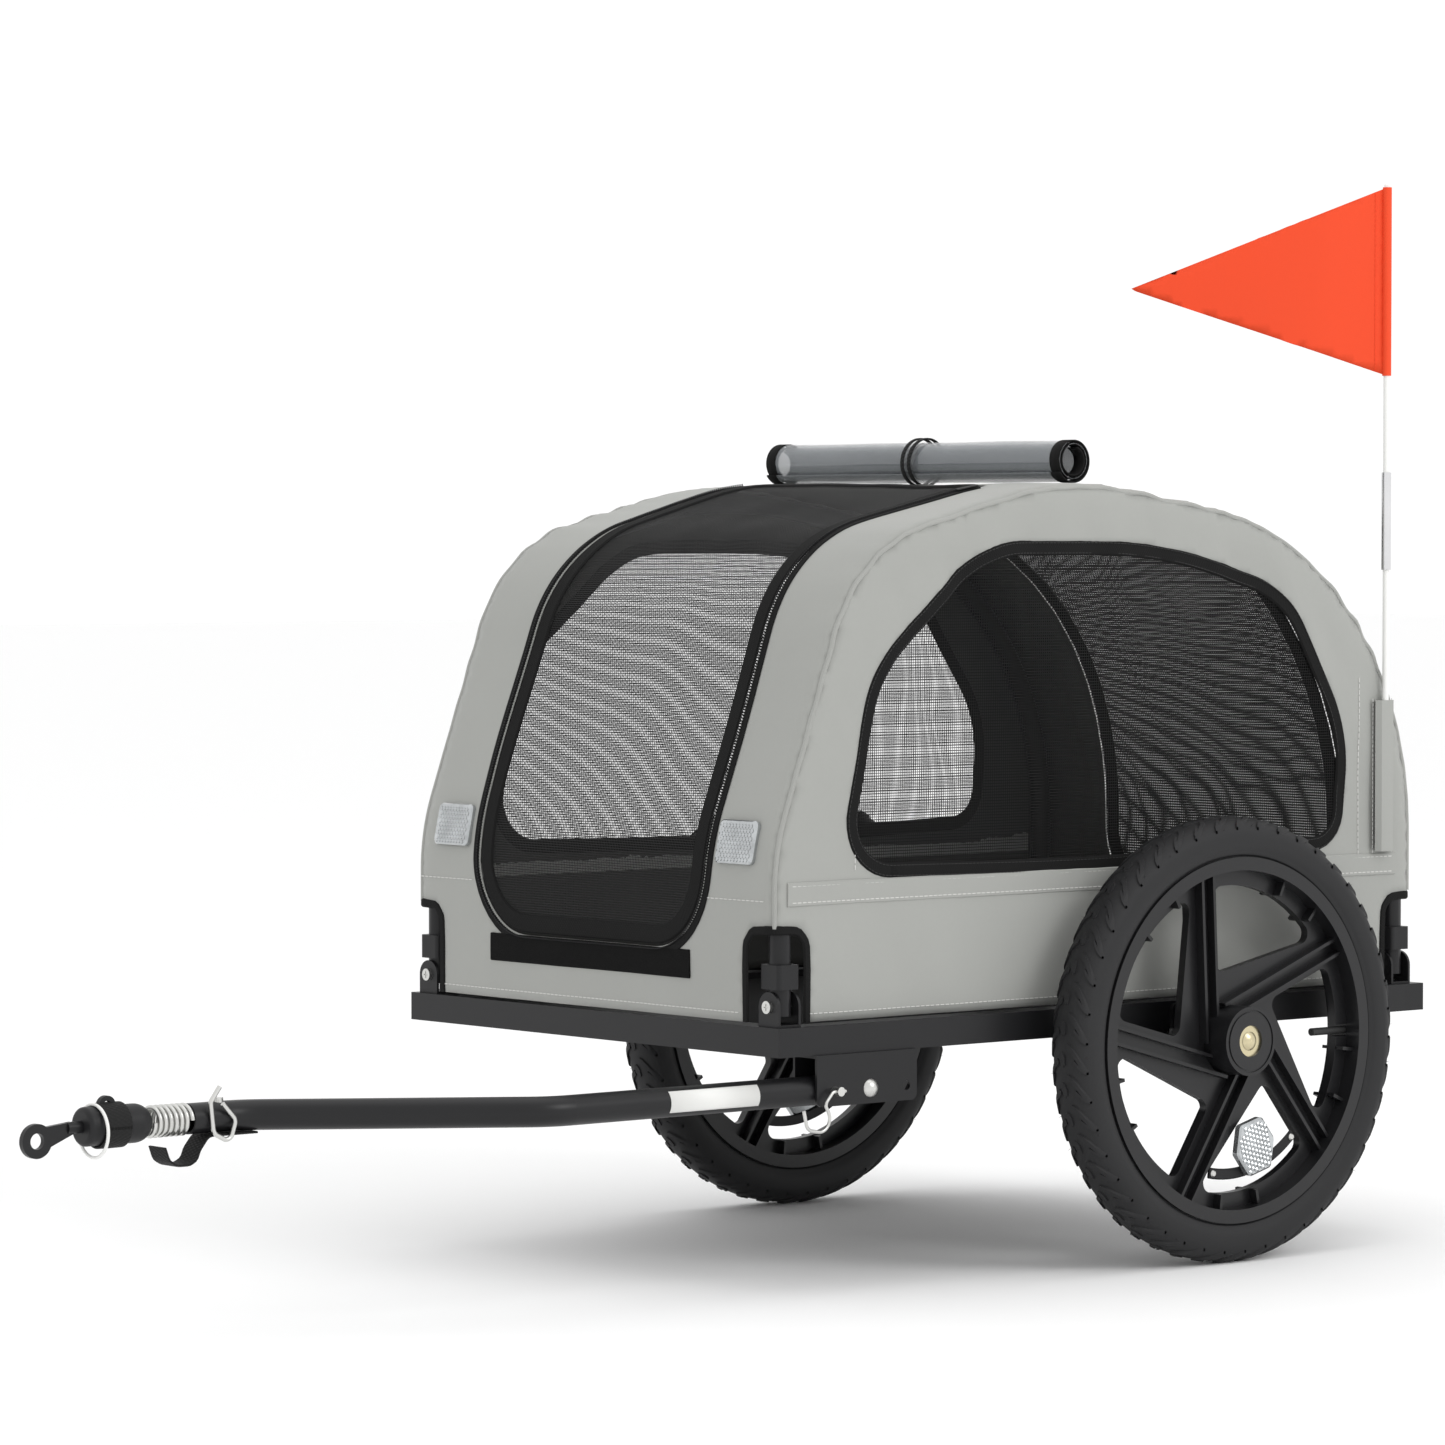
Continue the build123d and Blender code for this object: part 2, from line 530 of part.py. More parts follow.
def make_hitch():
    """Spring, coupler, swivelling axle eye, safety strap and snap hook at the drawbar's tip."""
    x, z = HITCH_X, DRAWBAR_Z
    seat = sqrt((COUPLER_RADIUS + SPRING_WIRE + SMALL_GAP) ** 2 - SPRING_RADIUS**2)
    rise = TUBE_END_Y - SPRING_WIRE - SMALL_GAP - COUPLER_PIVOT - seat
    coil = Helix(pitch=rise / SPRING_TURNS, height=rise, radius=SPRING_RADIUS)
    wire = sweep(Plane(origin=coil @ 0, z_dir=coil % 0) * Circle(SPRING_WIRE), path=coil, is_frenet=True)
    nodes["hitch_spring"] = [Pos(x, TUBE_END_Y - SPRING_WIRE - SMALL_GAP, z) * Rot(90, 0, 0) * wire]

    body = rod_y(COUPLER_PIVOT, COUPLER_FRONT, x, z, COUPLER_RADIUS)
    body = fillet(body.edges().filter_by(GeomType.CIRCLE).sort_by(Axis.Y)[0], 4)
    body += Pos(x, COUPLER_PIVOT, z) * Sphere(COUPLER_RADIUS)
    rod_back = COUPLER_FRONT + COUPLER_LENGTH / 2
    body -= rod_y(COUPLER_FRONT - 1, rod_back, x, z, ROD_RADIUS + RUNNING_CLEARANCE)
    lug = Pos(x, COUPLER_FRONT + 24, z + COUPLER_RADIUS) * Rot(0, 90, 0) * (Cylinder(8, 5) - Cylinder(4, 5))
    nodes["coupler_body"] = [body + (lug - rod_y(COUPLER_BACK, COUPLER_FRONT, x, z, COUPLER_RADIUS - 1))]
    ring = Pos(x, COUPLER_FRONT + 12, z - 4) * Rot(90, 0, 0) * Torus(COUPLER_RADIUS + 5.5, 1.4)
    nodes["coupler_ring"] = [ring]

    eye_z = z - EYE_DROP
    rod = rod_y(rod_back - SMALL_GAP, COUPLER_FRONT - 14, x, z, ROD_RADIUS)
    half = EYE_THICKNESS / 2
    ring = rod_x(x - half, x + half, EYE_Y, eye_z, EYE_RADIUS)
    ends = Pos(-EYE_Y, eye_z) * Circle(EYE_RADIUS * 0.7) + Pos(-COUPLER_FRONT + 10, z) * Circle(ROD_RADIUS)
    upright = Location(Plane(origin=(x, 0, 0), x_dir=(0, -1, 0), z_dir=(-1, 0, 0)))
    neck = upright * extrude(make_hull(ends.edges()), half, both=True)
    eye = rod + ring + neck
    nodes["hitch_eye"] = [eye - rod_x(x - 2 * half, x + 2 * half, EYE_Y, eye_z, EYE_HOLE)]

    under = z - TUBE_RADIUS - SMALL_GAP - STRAP_THICKNESS / 2
    start, dip = TUBE_END_Y + 62, 22.0
    path = FilletPolyline(
        (0, start, under),
        (0, TUBE_END_Y + 14, under),
        (0, TUBE_END_Y + 6, under - dip),
        (0, TUBE_END_Y - 20, under - dip),
        (0, TUBE_END_Y - 29, under - 8),
        radius=[7, 11, 11],
    )
    section = Plane(origin=path @ 0, z_dir=path % 0) * Rectangle(STRAP_THICKNESS, STRAP_WIDTH)
    band = sweep(section, path=path)
    if band.bounding_box().size.X < STRAP_WIDTH - 1:
        section = Plane(origin=path @ 0, z_dir=path % 0) * Rectangle(STRAP_WIDTH, STRAP_THICKNESS)
        band = sweep(section, path=path)
    nodes["hitch_strap"] = [Pos(x, 0, 0) * band]

    hook_y, hook_x = TUBE_END_Y + 22, x + TUBE_RADIUS + SMALL_GAP + 2
    hook_points = [
        (hook_x, hook_y, z + 26),
        (hook_x, hook_y - 9, z + 14),
        (hook_x, hook_y - 6, z - 12),
        (hook_x, hook_y + 10, z - 20),
        (hook_x, hook_y + 16, z - 2),
        (hook_x, hook_y + 3, z + 12),
    ]
    nodes["snap_hook"] = [sweep_tube(hook_points, [5, 8, 6, 6], 2)]
    button = rod_z(z, z + TUBE_RADIUS + 3, x, TUBE_END_Y + 30, 5)
    nodes["strap_bolt"] = [button - rod_y(TUBE_END_Y - 1, TUBE_END_Y + 80, x, z, TUBE_RADIUS)]


# ---------------------------------------------------------------- folding arches
def make_arches():
    """An arched tube on each side, hinged on a bracket at each corner, with its locking blocks."""
    foot = HINGE_Z - POLE_FOOT
    path = outline_path(ARCH_INSET, foot)
    start = Plane(origin=path @ 0, z_dir=path % 0)
    arch = sweep(start * (Circle(ARCH_RADIUS) - Circle(ARCH_RADIUS - ARCH_WALL)), path=path)
    legs = (("front", LEG_FRONT, -1), ("rear", LEG_REAR, 1))
    for _, y, _ in legs:
        arch -= rod_y(y - 2 * ARCH_RADIUS, y + 2 * ARCH_RADIUS, 0, HINGE_Z, HINGE_RADIUS + RUNNING_CLEARANCE)
    brackets, screws = [], []
    for name, side in SIDES:
        x = side * ARCH_X
        nodes[f"{name}_arch"] = [Pos(x, 0, 0) * arch]
        for end, y, way in legs:
            inner = ARCH_RADIUS + EAR_GAP
            outer = inner + EAR_THICKNESS
            top = RAIL_TOP + BASE_THICKNESS
            bracket = block((x - EAR_RADIUS, y - outer, RAIL_TOP), (x + EAR_RADIUS, y + outer, top))
            for low in (-outer, inner):
                high = y + low + EAR_THICKNESS
                bracket += block((x - EAR_RADIUS, y + low, RAIL_TOP), (x + EAR_RADIUS, high, HINGE_Z))
                bracket += rod_y(y + low, y + low + EAR_THICKNESS, x, HINGE_Z, EAR_RADIUS)
            hole = HINGE_RADIUS + RUNNING_CLEARANCE
            brackets.append(bracket - rod_y(y - 2 * outer, y + 2 * outer, x, HINGE_Z, hole))
            screw = rod_y(y - way * (outer + 3), y + way * outer, x, HINGE_Z, HINGE_RADIUS)
            head = rod_y(y + way * outer, y + way * (outer + 3), x, HINGE_Z, 5.5)
            deep, face = y + way * (outer + 1.8), y + way * (outer + 4)
            cross = block((x - 0.5, deep, HINGE_Z - 3), (x + 0.5, face, HINGE_Z + 3))
            cross += block((x - 3, deep, HINGE_Z - 0.5), (x + 3, face, HINGE_Z + 0.5))
            screws.append(screw + (head - cross))
            bottom = HINGE_Z + BLOCK_LIFT
            sleeve = block(
                (x - BLOCK_WIDTH / 2, y - BLOCK_DEPTH / 2, bottom),
                (x + BLOCK_WIDTH / 2, y + BLOCK_DEPTH / 2, bottom + BLOCK_HEIGHT),
            )
            sleeve = fillet(sleeve.edges().filter_by(Axis.Z), 4)
            sleeve -= rod_z(bottom - 1, bottom + BLOCK_HEIGHT + 1, x, y, ARCH_RADIUS + 2 * RUNNING_CLEARANCE)
            nodes[f"lock_block_{end}_{name}"] = [sleeve]
    nodes["corner_brackets"] = brackets
    nodes["hinge_screws"] = screws


# ---------------------------------------------------------------- fabric cover
def corner_cutters():
    """Arched cut-outs that clear the four corner hinges, drawn out along each corner's diagonal."""
    reach, width, height = 52.0, 51.0, 74.0
    shape = RectangleRounded(width, 2 * height, 14)
    cutters = []
    for side in (-1, 1):
        for y, way in ((COVER_FRONT, -1), (COVER_REAR, 1)):
            plane = Plane(origin=(side * COVER_X, y, COVER_BOTTOM), x_dir=(-way, side, 0), z_dir=(side, way, 0))
            if plane.y_dir.Z < 0:
                plane = Plane(origin=plane.origin, x_dir=(way, -side, 0), z_dir=(side, way, 0))
            cutters.append(Location(plane) * extrude(shape, reach, both=True))
    return cutters


def door_prism(half_width, sill, y_from, y_to, corner):
    """The space of a door, seen from the end: straight sides and a sill with round corners."""
    top = RAIL_TOP + 2 * CROWN_HEIGHT
    prism = block((-half_width, min(y_from, y_to), sill), (half_width, max(y_from, y_to), top))
    low = prism.edges().filter_by(Axis.Y).sort_by(Axis.Z)[:2]
    return fillet(low, corner)


SIDE_WINDOW = [
    (-312, 129, 45),
    (-272, 297, 90),
    (-140, 408, 120),
    (243, 384, 85),
    (300, 207, 60),
    (292, 131, 30),
]


def window_face():
    """Outline of a side window in the plane X 0: places along Y, heights above the rail, corner radii."""
    points = [(0, y * STRETCH, RAIL_TOP + height) for y, height, _ in SIDE_WINDOW]
    radii = [radius * min(STRETCH, 1) for _, _, radius in SIDE_WINDOW]
    path = FilletPolyline(*points, radius=radii, close=True)
    return Face(Wire(path.edges()))


def make_cover():
    """Cover sheet over front, roof and rear, the two side panels, windows and doors."""
    shell = cover_block - outline_solid(COVER_THICKNESS, COVER_BOTTOM - 1, COVER_X)
    cutters = corner_cutters()
    sill = RAIL_TOP + DOOR_SILL_HEIGHT
    far = FRAME_LENGTH
    doors = {}
    for name, hinge_y, end in (("front", FRONT_HINGE_Y, -far), ("rear", REAR_HINGE_Y, far)):
        gap = DOOR_GAP if end > 0 else -DOOR_GAP
        opening = door_prism(DOOR_HALF_WIDTH, sill, hinge_y, end, DOOR_CORNER)
        corner = DOOR_CORNER - DOOR_GAP
        panel = door_prism(DOOR_HALF_WIDTH - DOOR_GAP, sill + DOOR_GAP, hinge_y + gap, end, corner)
        doors[name] = (opening, shell & panel)
    for opening, _ in doors.values():
        shell -= opening
    side = COVER_X - COVER_THICKNESS
    plate = outline_solid(0, COVER_BOTTOM, COVER_X) & block(
        (side, COVER_FRONT, 0), (COVER_X, COVER_REAR, RAIL_TOP + 2 * CROWN_HEIGHT)
    )
    window = Pos(side, 0, 0) * extrude(window_face(), amount=COVER_THICKNESS, dir=(1, 0, 0))
    mesh = Pos(side + 0.5, 0, 0) * extrude(window_face(), amount=1, dir=(1, 0, 0))
    plate -= window
    panels = {"left": plate, "right": mirror(plate, Plane.YZ)}
    for cutter in cutters:
        shell -= cutter
        panels = {name: panel - cutter for name, panel in panels.items()}
    nodes["cabin_cover"] = [shell]
    for name, panel in panels.items():
        nodes[f"side_panel_{name}"] = [panel]
    nodes["side_window_left"] = [mesh]
    nodes["side_window_right"] = [mirror(mesh, Plane.YZ)]
    for name, (_, panel) in doors.items():
        nodes[f"{name}_door"] = [panel]


def make_trim():
    """Reflectors, hook strips, rolled rain cover with its strap, zip pulls and the flag's pocket."""
    wide, deep, tall = REFLECTOR
    z = RAIL_TOP + REFLECTOR_HEIGHT
    front, lean = front_face(z)
    reflectors = []
    for x in (-REFLECTOR_X, REFLECTOR_X):
        lens = Pos(0, -deep / 2 - SMALL_GAP, 0) * fillet(Box(wide, deep, tall).edges().filter_by(Axis.Y), 4)
        reflectors.append(Pos(x, front, z) * Rot(-lean, 0, 0) * lens)
    nodes["front_reflectors"] = reflectors
    long, thin, high = HOOK_STRIP
    top = RAIL_TOP + DOOR_SILL_HEIGHT - 1
    nodes["hook_strips"] = [
        block((-long / 2, COVER_FRONT - thin, top - high), (long / 2, COVER_FRONT, top)),
        block((-long / 2, COVER_REAR, top - high), (long / 2, COVER_REAR + thin, top)),
    ]
    roof = roof_height(0)
    centre = roof + ROLL_STRAP + ROLL_RADIUS + SMALL_GAP
    roll = rod_x(-ROLL_LENGTH / 2, ROLL_LENGTH / 2, 0, centre, ROLL_RADIUS)
    nodes["rain_cover_roll"] = [roll - rod_x(-ROLL_LENGTH, ROLL_LENGTH, 0, centre, ROLL_CORE)]
    band = rod_x(-12, 12, 0, centre, ROLL_RADIUS + ROLL_STRAP)
    nodes["roll_strap"] = [band - rod_x(-13, 13, 0, centre, ROLL_RADIUS + RUNNING_CLEARANCE)]
    pulls = []
    for y in (FRONT_HINGE_Y - 35, REAR_HINGE_Y + 40):
        ahead = roof_height(y + 5) - roof_height(y - 5)
        pull = fillet(Box(7, 26, 2.4).edges().filter_by(Axis.Z), 3)
        pulls.append(Pos(DOOR_HALF_WIDTH + 9, y, roof_height(y) + 2) * Rot(ahead * 5.7, 0, 0) * pull)
    nodes["zip_pulls"] = pulls
    pocket = block(
        (COVER_X, POLE_Y - POCKET_WIDTH / 2, POCKET_BOTTOM),
        (COVER_X + POCKET_DEPTH, POLE_Y + POCKET_WIDTH / 2, POCKET_BOTTOM + POCKET_HEIGHT),
    )
    pocket = fillet(pocket.edges().filter_by(Axis.Z).sort_by(Axis.X)[-2:], 4)
    foot = POCKET_BOTTOM + POLE_FOOT_GAP - SMALL_GAP
    hole = rod_z(foot, POCKET_BOTTOM + 2 * POCKET_HEIGHT, POLE_X, POLE_Y, POLE_RADIUS + SMALL_GAP)
    nodes["flag_pocket"] = [pocket - hole]


def make_flag():
    """Two-piece pole with a ferrule, and the pennant sewn round its top."""
    joint = JOINER_BOTTOM + FERRULE_LENGTH / 2
    foot = POCKET_BOTTOM + POLE_FOOT_GAP
    nodes["flag_pole_lower"] = [rod_z(foot, joint, POLE_X, POLE_Y, POLE_RADIUS)]
    sleeve = rod_z(JOINER_BOTTOM, JOINER_BOTTOM + FERRULE_LENGTH, POLE_X, POLE_Y, FERRULE_RADIUS)
    bore = POLE_RADIUS + RUNNING_CLEARANCE
    nodes["pole_ferrule"] = [sleeve - rod_z(0, 2 * POLE_TOP, POLE_X, POLE_Y, bore)]
    nodes["flag_pole_upper"] = [rod_z(joint + SMALL_GAP, POLE_TOP, POLE_X, POLE_Y, POLE_RADIUS)]
    low = POLE_TOP - FLAG_HEIGHT - 1
    hem = rod_z(low, low + FLAG_HEIGHT, 0, 0, POLE_RADIUS + 1.2)
    sheet = Polyline((0, 0), (FLAG_LENGTH, FLAG_HEIGHT / 2), (0, FLAG_HEIGHT), close=True)
    sheet = extrude(Plane.XZ * make_face(sheet), FLAG_THICKNESS / 2, both=True)
    flag = hem + Pos(0, 0, low) * sheet
    flag -= rod_z(0, 2 * POLE_TOP, 0, 0, POLE_RADIUS + RUNNING_CLEARANCE)
    nodes["flag"] = [Pos(POLE_X, POLE_Y, 0) * Rot(0, 0, -90 - (90 - FLAG_HEADING)) * flag]


make_frame()
make_axles()
make_wheels()
make_drawbar()
make_hitch()
make_arches()
make_cover()
make_trim()
make_flag()

# ---------------------------------------------------------------- place and write
os.makedirs("parts", exist_ok=True)
solids = {name: [s for piece in pieces for s in piece.solids()] for name, pieces in nodes.items()}
whole = Compound([solid for pieces in solids.values() for solid in pieces]).bounding_box()
middle = Vector((whole.min.X + whole.max.X) / 2, (whole.min.Y + whole.max.Y) / 2, whole.min.Z)
for name, pieces in solids.items():
    moved = [Pos(*(-middle)) * piece for piece in pieces]
    export_step(moved[0] if len(moved) == 1 else Compound(moved), f"parts/{name}.step")
print("moved by", -middle, "size", whole.size)
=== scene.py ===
"""Looks of a two-wheeled dog trailer: fabric cabin, moulded wheels, drawbar, rolled rain cover and flag."""

import logging
import math
from dataclasses import dataclass, field
from enum import Enum
from typing import Callable, Iterable, Sequence

import bpy
import numpy as np
from mathutils import Matrix, Vector, noise
from mathutils.geometry import delaunay_2d_cdt


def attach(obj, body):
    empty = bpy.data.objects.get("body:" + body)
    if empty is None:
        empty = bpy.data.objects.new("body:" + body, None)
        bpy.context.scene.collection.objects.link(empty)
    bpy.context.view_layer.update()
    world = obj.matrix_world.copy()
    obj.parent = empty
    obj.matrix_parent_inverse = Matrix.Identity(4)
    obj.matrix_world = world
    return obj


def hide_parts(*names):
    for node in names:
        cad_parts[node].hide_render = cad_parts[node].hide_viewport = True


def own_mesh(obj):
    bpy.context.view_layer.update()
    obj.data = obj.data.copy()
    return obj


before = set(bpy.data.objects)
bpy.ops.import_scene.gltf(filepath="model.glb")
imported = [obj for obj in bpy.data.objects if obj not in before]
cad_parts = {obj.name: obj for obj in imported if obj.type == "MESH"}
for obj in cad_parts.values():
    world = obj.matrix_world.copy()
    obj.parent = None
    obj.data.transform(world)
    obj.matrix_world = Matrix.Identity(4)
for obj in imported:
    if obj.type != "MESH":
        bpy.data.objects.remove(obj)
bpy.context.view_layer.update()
log = logging.getLogger("trailer")

Point = Sequence[float]
Place = Callable[[float, float, float], Vector]
SIDES = (("left", 1.0), ("right", -1.0))
SHIFT = 0.330  # the cabin's middle lies this far behind the row's origin
FRONT_Y, REAR_Y = -0.394, 0.388  # the cabin's lower front and rear edges
NOTCH_REACH = 0.252  # across the sheet to the outer end of a corner notch
REFLECTOR_S = 0.153  # up the front from its hem to the reflectors' middle
HINGE_GAP = 0.022  # between the end of a zip and its door's hinge
TYRE_RADIUS = 0.2
LONG_STITCH = {"spacing": 0.0056, "length": 0.0040, "radius": 0.0005}


# ------------------------------------------------------------------ node helpers
class Graph:
    """A node tree with short calls for adding and joining nodes."""

    def __init__(self, tree: bpy.types.NodeTree) -> None:
        """Keeps the tree."""
        self.tree = tree

    def add(self, kind: str, **values: object) -> bpy.types.Node:
        """Adds a node.

        Args:
            kind: the node's type name.
            values: settings of the node itself.

        Returns:
            The new node.
        """
        node = self.tree.nodes.new(kind)
        for key, value in values.items():
            setattr(node, key, value)
        return node

    def feed(self, socket: bpy.types.NodeSocket, value: object) -> None:
        """Joins another socket to a socket, or sets a plain value on it."""
        if isinstance(value, bpy.types.NodeSocket):
            self.tree.links.new(value, socket)
        else:
            socket.default_value = value

    def math(self, operation: str, *values: object) -> bpy.types.NodeSocket:
        """Adds a Math node.

        Args:
            operation: its operation.
            values: a socket or a number for each input.

        Returns:
            Its output.
        """
        node = self.add("ShaderNodeMath", operation=operation)
        for socket, value in zip(node.inputs, values):
            self.feed(socket, value)
        return node.outputs[0]


def new_group(name: str, kind: str, inputs: Iterable[tuple], outputs: Iterable[tuple]) -> tuple:
    """Starts a node group with named sockets.

    Args:
        name: the group's name.
        kind: the tree's type name.
        inputs: name, socket type and default value of each input.
        outputs: name and socket type of each output.

    Returns:
        The graph, its group input node and its group output node.
    """
    tree = bpy.data.node_groups.new(name, kind)
    for label, socket, default in inputs:
        made = tree.interface.new_socket(label, in_out="INPUT", socket_type=socket)
        if default is not None:
            made.default_value = default
    for label, socket in outputs:
        tree.interface.new_socket(label, in_out="OUTPUT", socket_type=socket)
    graph = Graph(tree)
    return graph, graph.add("NodeGroupInput"), graph.add("NodeGroupOutput")


class Shades:
    """Shared shader groups for grain, weave and open mesh, each built once."""

    def __init__(self) -> None:
        """Builds the three groups."""
        self.grain = self.make_grain()
        self.weave = self.make_weave()
        self.holes = self.make_holes()

    def make_grain(self) -> bpy.types.NodeTree:
        """Uneven tone at two sizes, for dirt, moulding marks and worn coats.

        Returns:
            The group, which puts out Tone and Height.
        """
        vector, number = "NodeSocketVector", "NodeSocketFloat"
        sockets = [("Vector", vector, None), ("Fine", number, 900.0), ("Broad", number, 14.0)]
        graph, start, end = new_group("grain", "ShaderNodeTree", sockets,
                                      [("Tone", number), ("Height", number)])
        found = []
        for label in ("Fine", "Broad"):
            texture = graph.add("ShaderNodeTexNoise")
            graph.feed(texture.inputs["Vector"], start.outputs["Vector"])
            graph.feed(texture.inputs["Scale"], start.outputs[label])
            graph.feed(texture.inputs["Detail"], 3.0)
            found.append(texture.outputs["Fac"])
        tone = graph.math("MULTIPLY_ADD", found[1], 0.7, graph.math("MULTIPLY", found[0], 0.3))
        graph.feed(end.inputs["Tone"], tone)
        graph.feed(end.inputs["Height"], found[0])
        return graph.tree

    def make_weave(self) -> bpy.types.NodeTree:
        """Plain weave, in which crossing threads rise in turn.

        Returns:
            The group, which puts out Height and Tone, a painted shade that is darker where the threads sink.
        """
        vector, number = "NodeSocketVector", "NodeSocketFloat"
        sockets = [("Vector", vector, None), ("Across", number, 900.0), ("Along", number, 900.0)]
        graph, start, end = new_group("weave", "ShaderNodeTree", sockets,
                                      [("Height", number), ("Tone", number)])
        split = graph.add("ShaderNodeSeparateXYZ")
        graph.feed(split.inputs[0], start.outputs["Vector"])
        waves = []
        for axis, label in (("X", "Across"), ("Y", "Along")):
            turn = graph.math("MULTIPLY",
                              graph.math("MULTIPLY", split.outputs[axis], start.outputs[label]), math.tau)
            waves.append(graph.math("SINE", turn))
        height = graph.math("MULTIPLY_ADD", graph.math("MULTIPLY", *waves), 0.5, 0.5)
        graph.feed(end.inputs["Height"], height)
        # painted shade: the weave's low places get a darker tone
        graph.feed(end.inputs["Tone"], graph.math("POWER", height, 0.7))
        return graph.tree

    def make_holes(self) -> bpy.types.NodeTree:
        """Square mesh of crossing threads.

        Returns:
            The group, which puts out Mask, 1 on a thread and 0 in a hole, and Height.
        """
        vector, number = "NodeSocketVector", "NodeSocketFloat"
        sockets = [("Vector", vector, None), ("Threads", number, 400.0), ("Width", number, 0.22)]
        graph, start, end = new_group("open_mesh", "ShaderNodeTree", sockets,
                                      [("Mask", number), ("Height", number)])
        split = graph.add("ShaderNodeSeparateXYZ")
        graph.feed(split.inputs[0], start.outputs["Vector"])
        edges = []
        for axis in "XY":
            cell = graph.math("FRACT", graph.math("MULTIPLY", split.outputs[axis],
                                                  start.outputs["Threads"]))
            away = graph.math("ABSOLUTE", graph.math("SUBTRACT", cell, 0.5))
            half = graph.math("MULTIPLY", start.outputs["Width"], 0.5)
            edges.append(graph.math("SUBTRACT", half, away))
        near = graph.math("MAXIMUM", *edges)
        graph.feed(end.inputs["Mask"], graph.math("GREATER_THAN", near, 0.0))
        graph.feed(end.inputs["Height"], graph.math("MULTIPLY", near, 4.0))
        return graph.tree


SHADES = Shades()


class Pattern(Enum):
    """How a finish varies over the surface."""

    GRAIN = "grain"
    WEAVE = "weave"
    OPEN_MESH = "open mesh"
    PILE = "pile"


@dataclass(frozen=True)
class Finish:
    """One material, with its colour, gloss and pattern."""

    name: str
    slot: str
    color: tuple
    rough: float
    pattern: Pattern = Pattern.GRAIN
    metallic: float = 0.0
    contrast: float = 0.15
    bump: float = 0.1
    depth: float = 0.0002
    scale: tuple = (900.0, 14.0)
    alpha: float = 1.0
    coat: float = 0.0
    sheen: float = 0.0
    shine: float = 0.5

    def material(self) -> bpy.types.Material:
        """Builds the material, or finds it if it is there.

        Returns:
            The material.
        """
        found = bpy.data.materials.get(self.name)
        if found:
            return found
        made = bpy.data.materials.new(self.name)
        made.use_nodes = True
        graph = Graph(made.node_tree)
        shader = made.node_tree.nodes["Principled BSDF"]
        for label, value in (("Metallic", self.metallic), ("Coat Weight", self.coat),
                             ("Sheen Weight", self.sheen),
                             ("Specular IOR Level", self.shine)):
            shader.inputs[label].default_value = value
        places = graph.add("ShaderNodeTexCoord")
        grain = graph.add("ShaderNodeGroup", node_tree=SHADES.grain)
        graph.feed(grain.inputs["Vector"], places.outputs["Object"])
        fine = self.scale[0] if self.pattern in (Pattern.GRAIN, Pattern.PILE) else 260.0
        graph.feed(grain.inputs["Fine"], fine)
        graph.feed(grain.inputs["Broad"], self.scale[1] if self.pattern is Pattern.GRAIN else 9.0)
        tone, height = grain.outputs["Tone"], grain.outputs["Height"]
        if self.pattern is Pattern.WEAVE:
            weave = graph.add("ShaderNodeGroup", node_tree=SHADES.weave)
            graph.feed(weave.inputs["Vector"], places.outputs["UV"])
            graph.feed(weave.inputs["Across"], self.scale[0])
            graph.feed(weave.inputs["Along"], self.scale[1])
            height = weave.outputs["Height"]
            # mixes the weave's painted shade, darker where threads sink, with the random grain tone
            tone = graph.math("MULTIPLY_ADD", weave.outputs["Tone"], 0.35,
                              graph.math("MULTIPLY", tone, 0.65))
        if self.pattern is Pattern.OPEN_MESH:
            net = graph.add("ShaderNodeGroup", node_tree=SHADES.holes)
            graph.feed(net.inputs["Vector"], places.outputs["UV"])
            graph.feed(net.inputs["Threads"], self.scale[0])
            graph.feed(net.inputs["Width"], self.scale[1])
            graph.feed(shader.inputs["Alpha"], net.outputs["Mask"])
            height = net.outputs["Height"]
        elif self.alpha < 1:
            shader.inputs["Alpha"].default_value = self.alpha
        ramp = graph.add("ShaderNodeMix", data_type="RGBA")
        graph.feed(ramp.inputs[0], tone)
        for index, way in ((6, -1), (7, 1)):
            shade = [min(1.0, c * (1 + way * self.contrast)) for c in self.color]
            ramp.inputs[index].default_value = (*shade, 1)
        graph.feed(shader.inputs["Base Color"], ramp.outputs[2])
        spread = graph.math("MULTIPLY_ADD", tone, 0.16, self.rough - 0.08)
        graph.feed(shader.inputs["Roughness"], spread)
        bump = graph.add("ShaderNodeBump")
        bump.inputs["Strength"].default_value = self.bump
        bump.inputs["Distance"].default_value = self.depth
        graph.feed(bump.inputs["Height"], height)
        graph.feed(shader.inputs["Normal"], bump.outputs[0])
        return made


FABRIC = Finish("grey_nylon", "grey_fabric", (0.325, 0.33, 0.312), 0.78, Pattern.WEAVE, contrast=0.09,
                bump=0.35,
                scale=(650.0, 650.0), sheen=0.15)
SCREEN = Finish("window_mesh", "black_mesh", (0.010, 0.010, 0.010), 0.7, Pattern.OPEN_MESH,
                scale=(400.0, 0.235),
                bump=0.3, shine=0.2)
FINE_SCREEN = Finish("door_mesh", "black_mesh", (0.012, 0.012, 0.012), 0.6, Pattern.OPEN_MESH,
                     scale=(450.0, 0.33), bump=0.3, shine=0.2)
DENSE_SCREEN = Finish("rear_mesh", "black_mesh", (0.02, 0.02, 0.02), 0.7, Pattern.OPEN_MESH,
                      scale=(400.0, 0.76), bump=0.3, shine=0.2)
BINDING = Finish("black_binding", "black_webbing", (0.009, 0.009, 0.009), 0.85, Pattern.WEAVE, bump=0.7,
                 depth=0.0004, scale=(260.0, 420.0), shine=0.15)
# painted shade: the cover's inner face is coloured near black to stand in for the shade inside the cabin
SHADE_LINING = Finish("painted_shade_lining", "grey_fabric", (0.055, 0.055, 0.052), 0.75, contrast=0.2, shine=0.25)
WEBBING = Finish("webbing", "black_webbing", (0.013, 0.013, 0.013), 0.7, Pattern.WEAVE, bump=0.9,
                 depth=0.0006,
                 scale=(160.0, 300.0), shine=0.2)
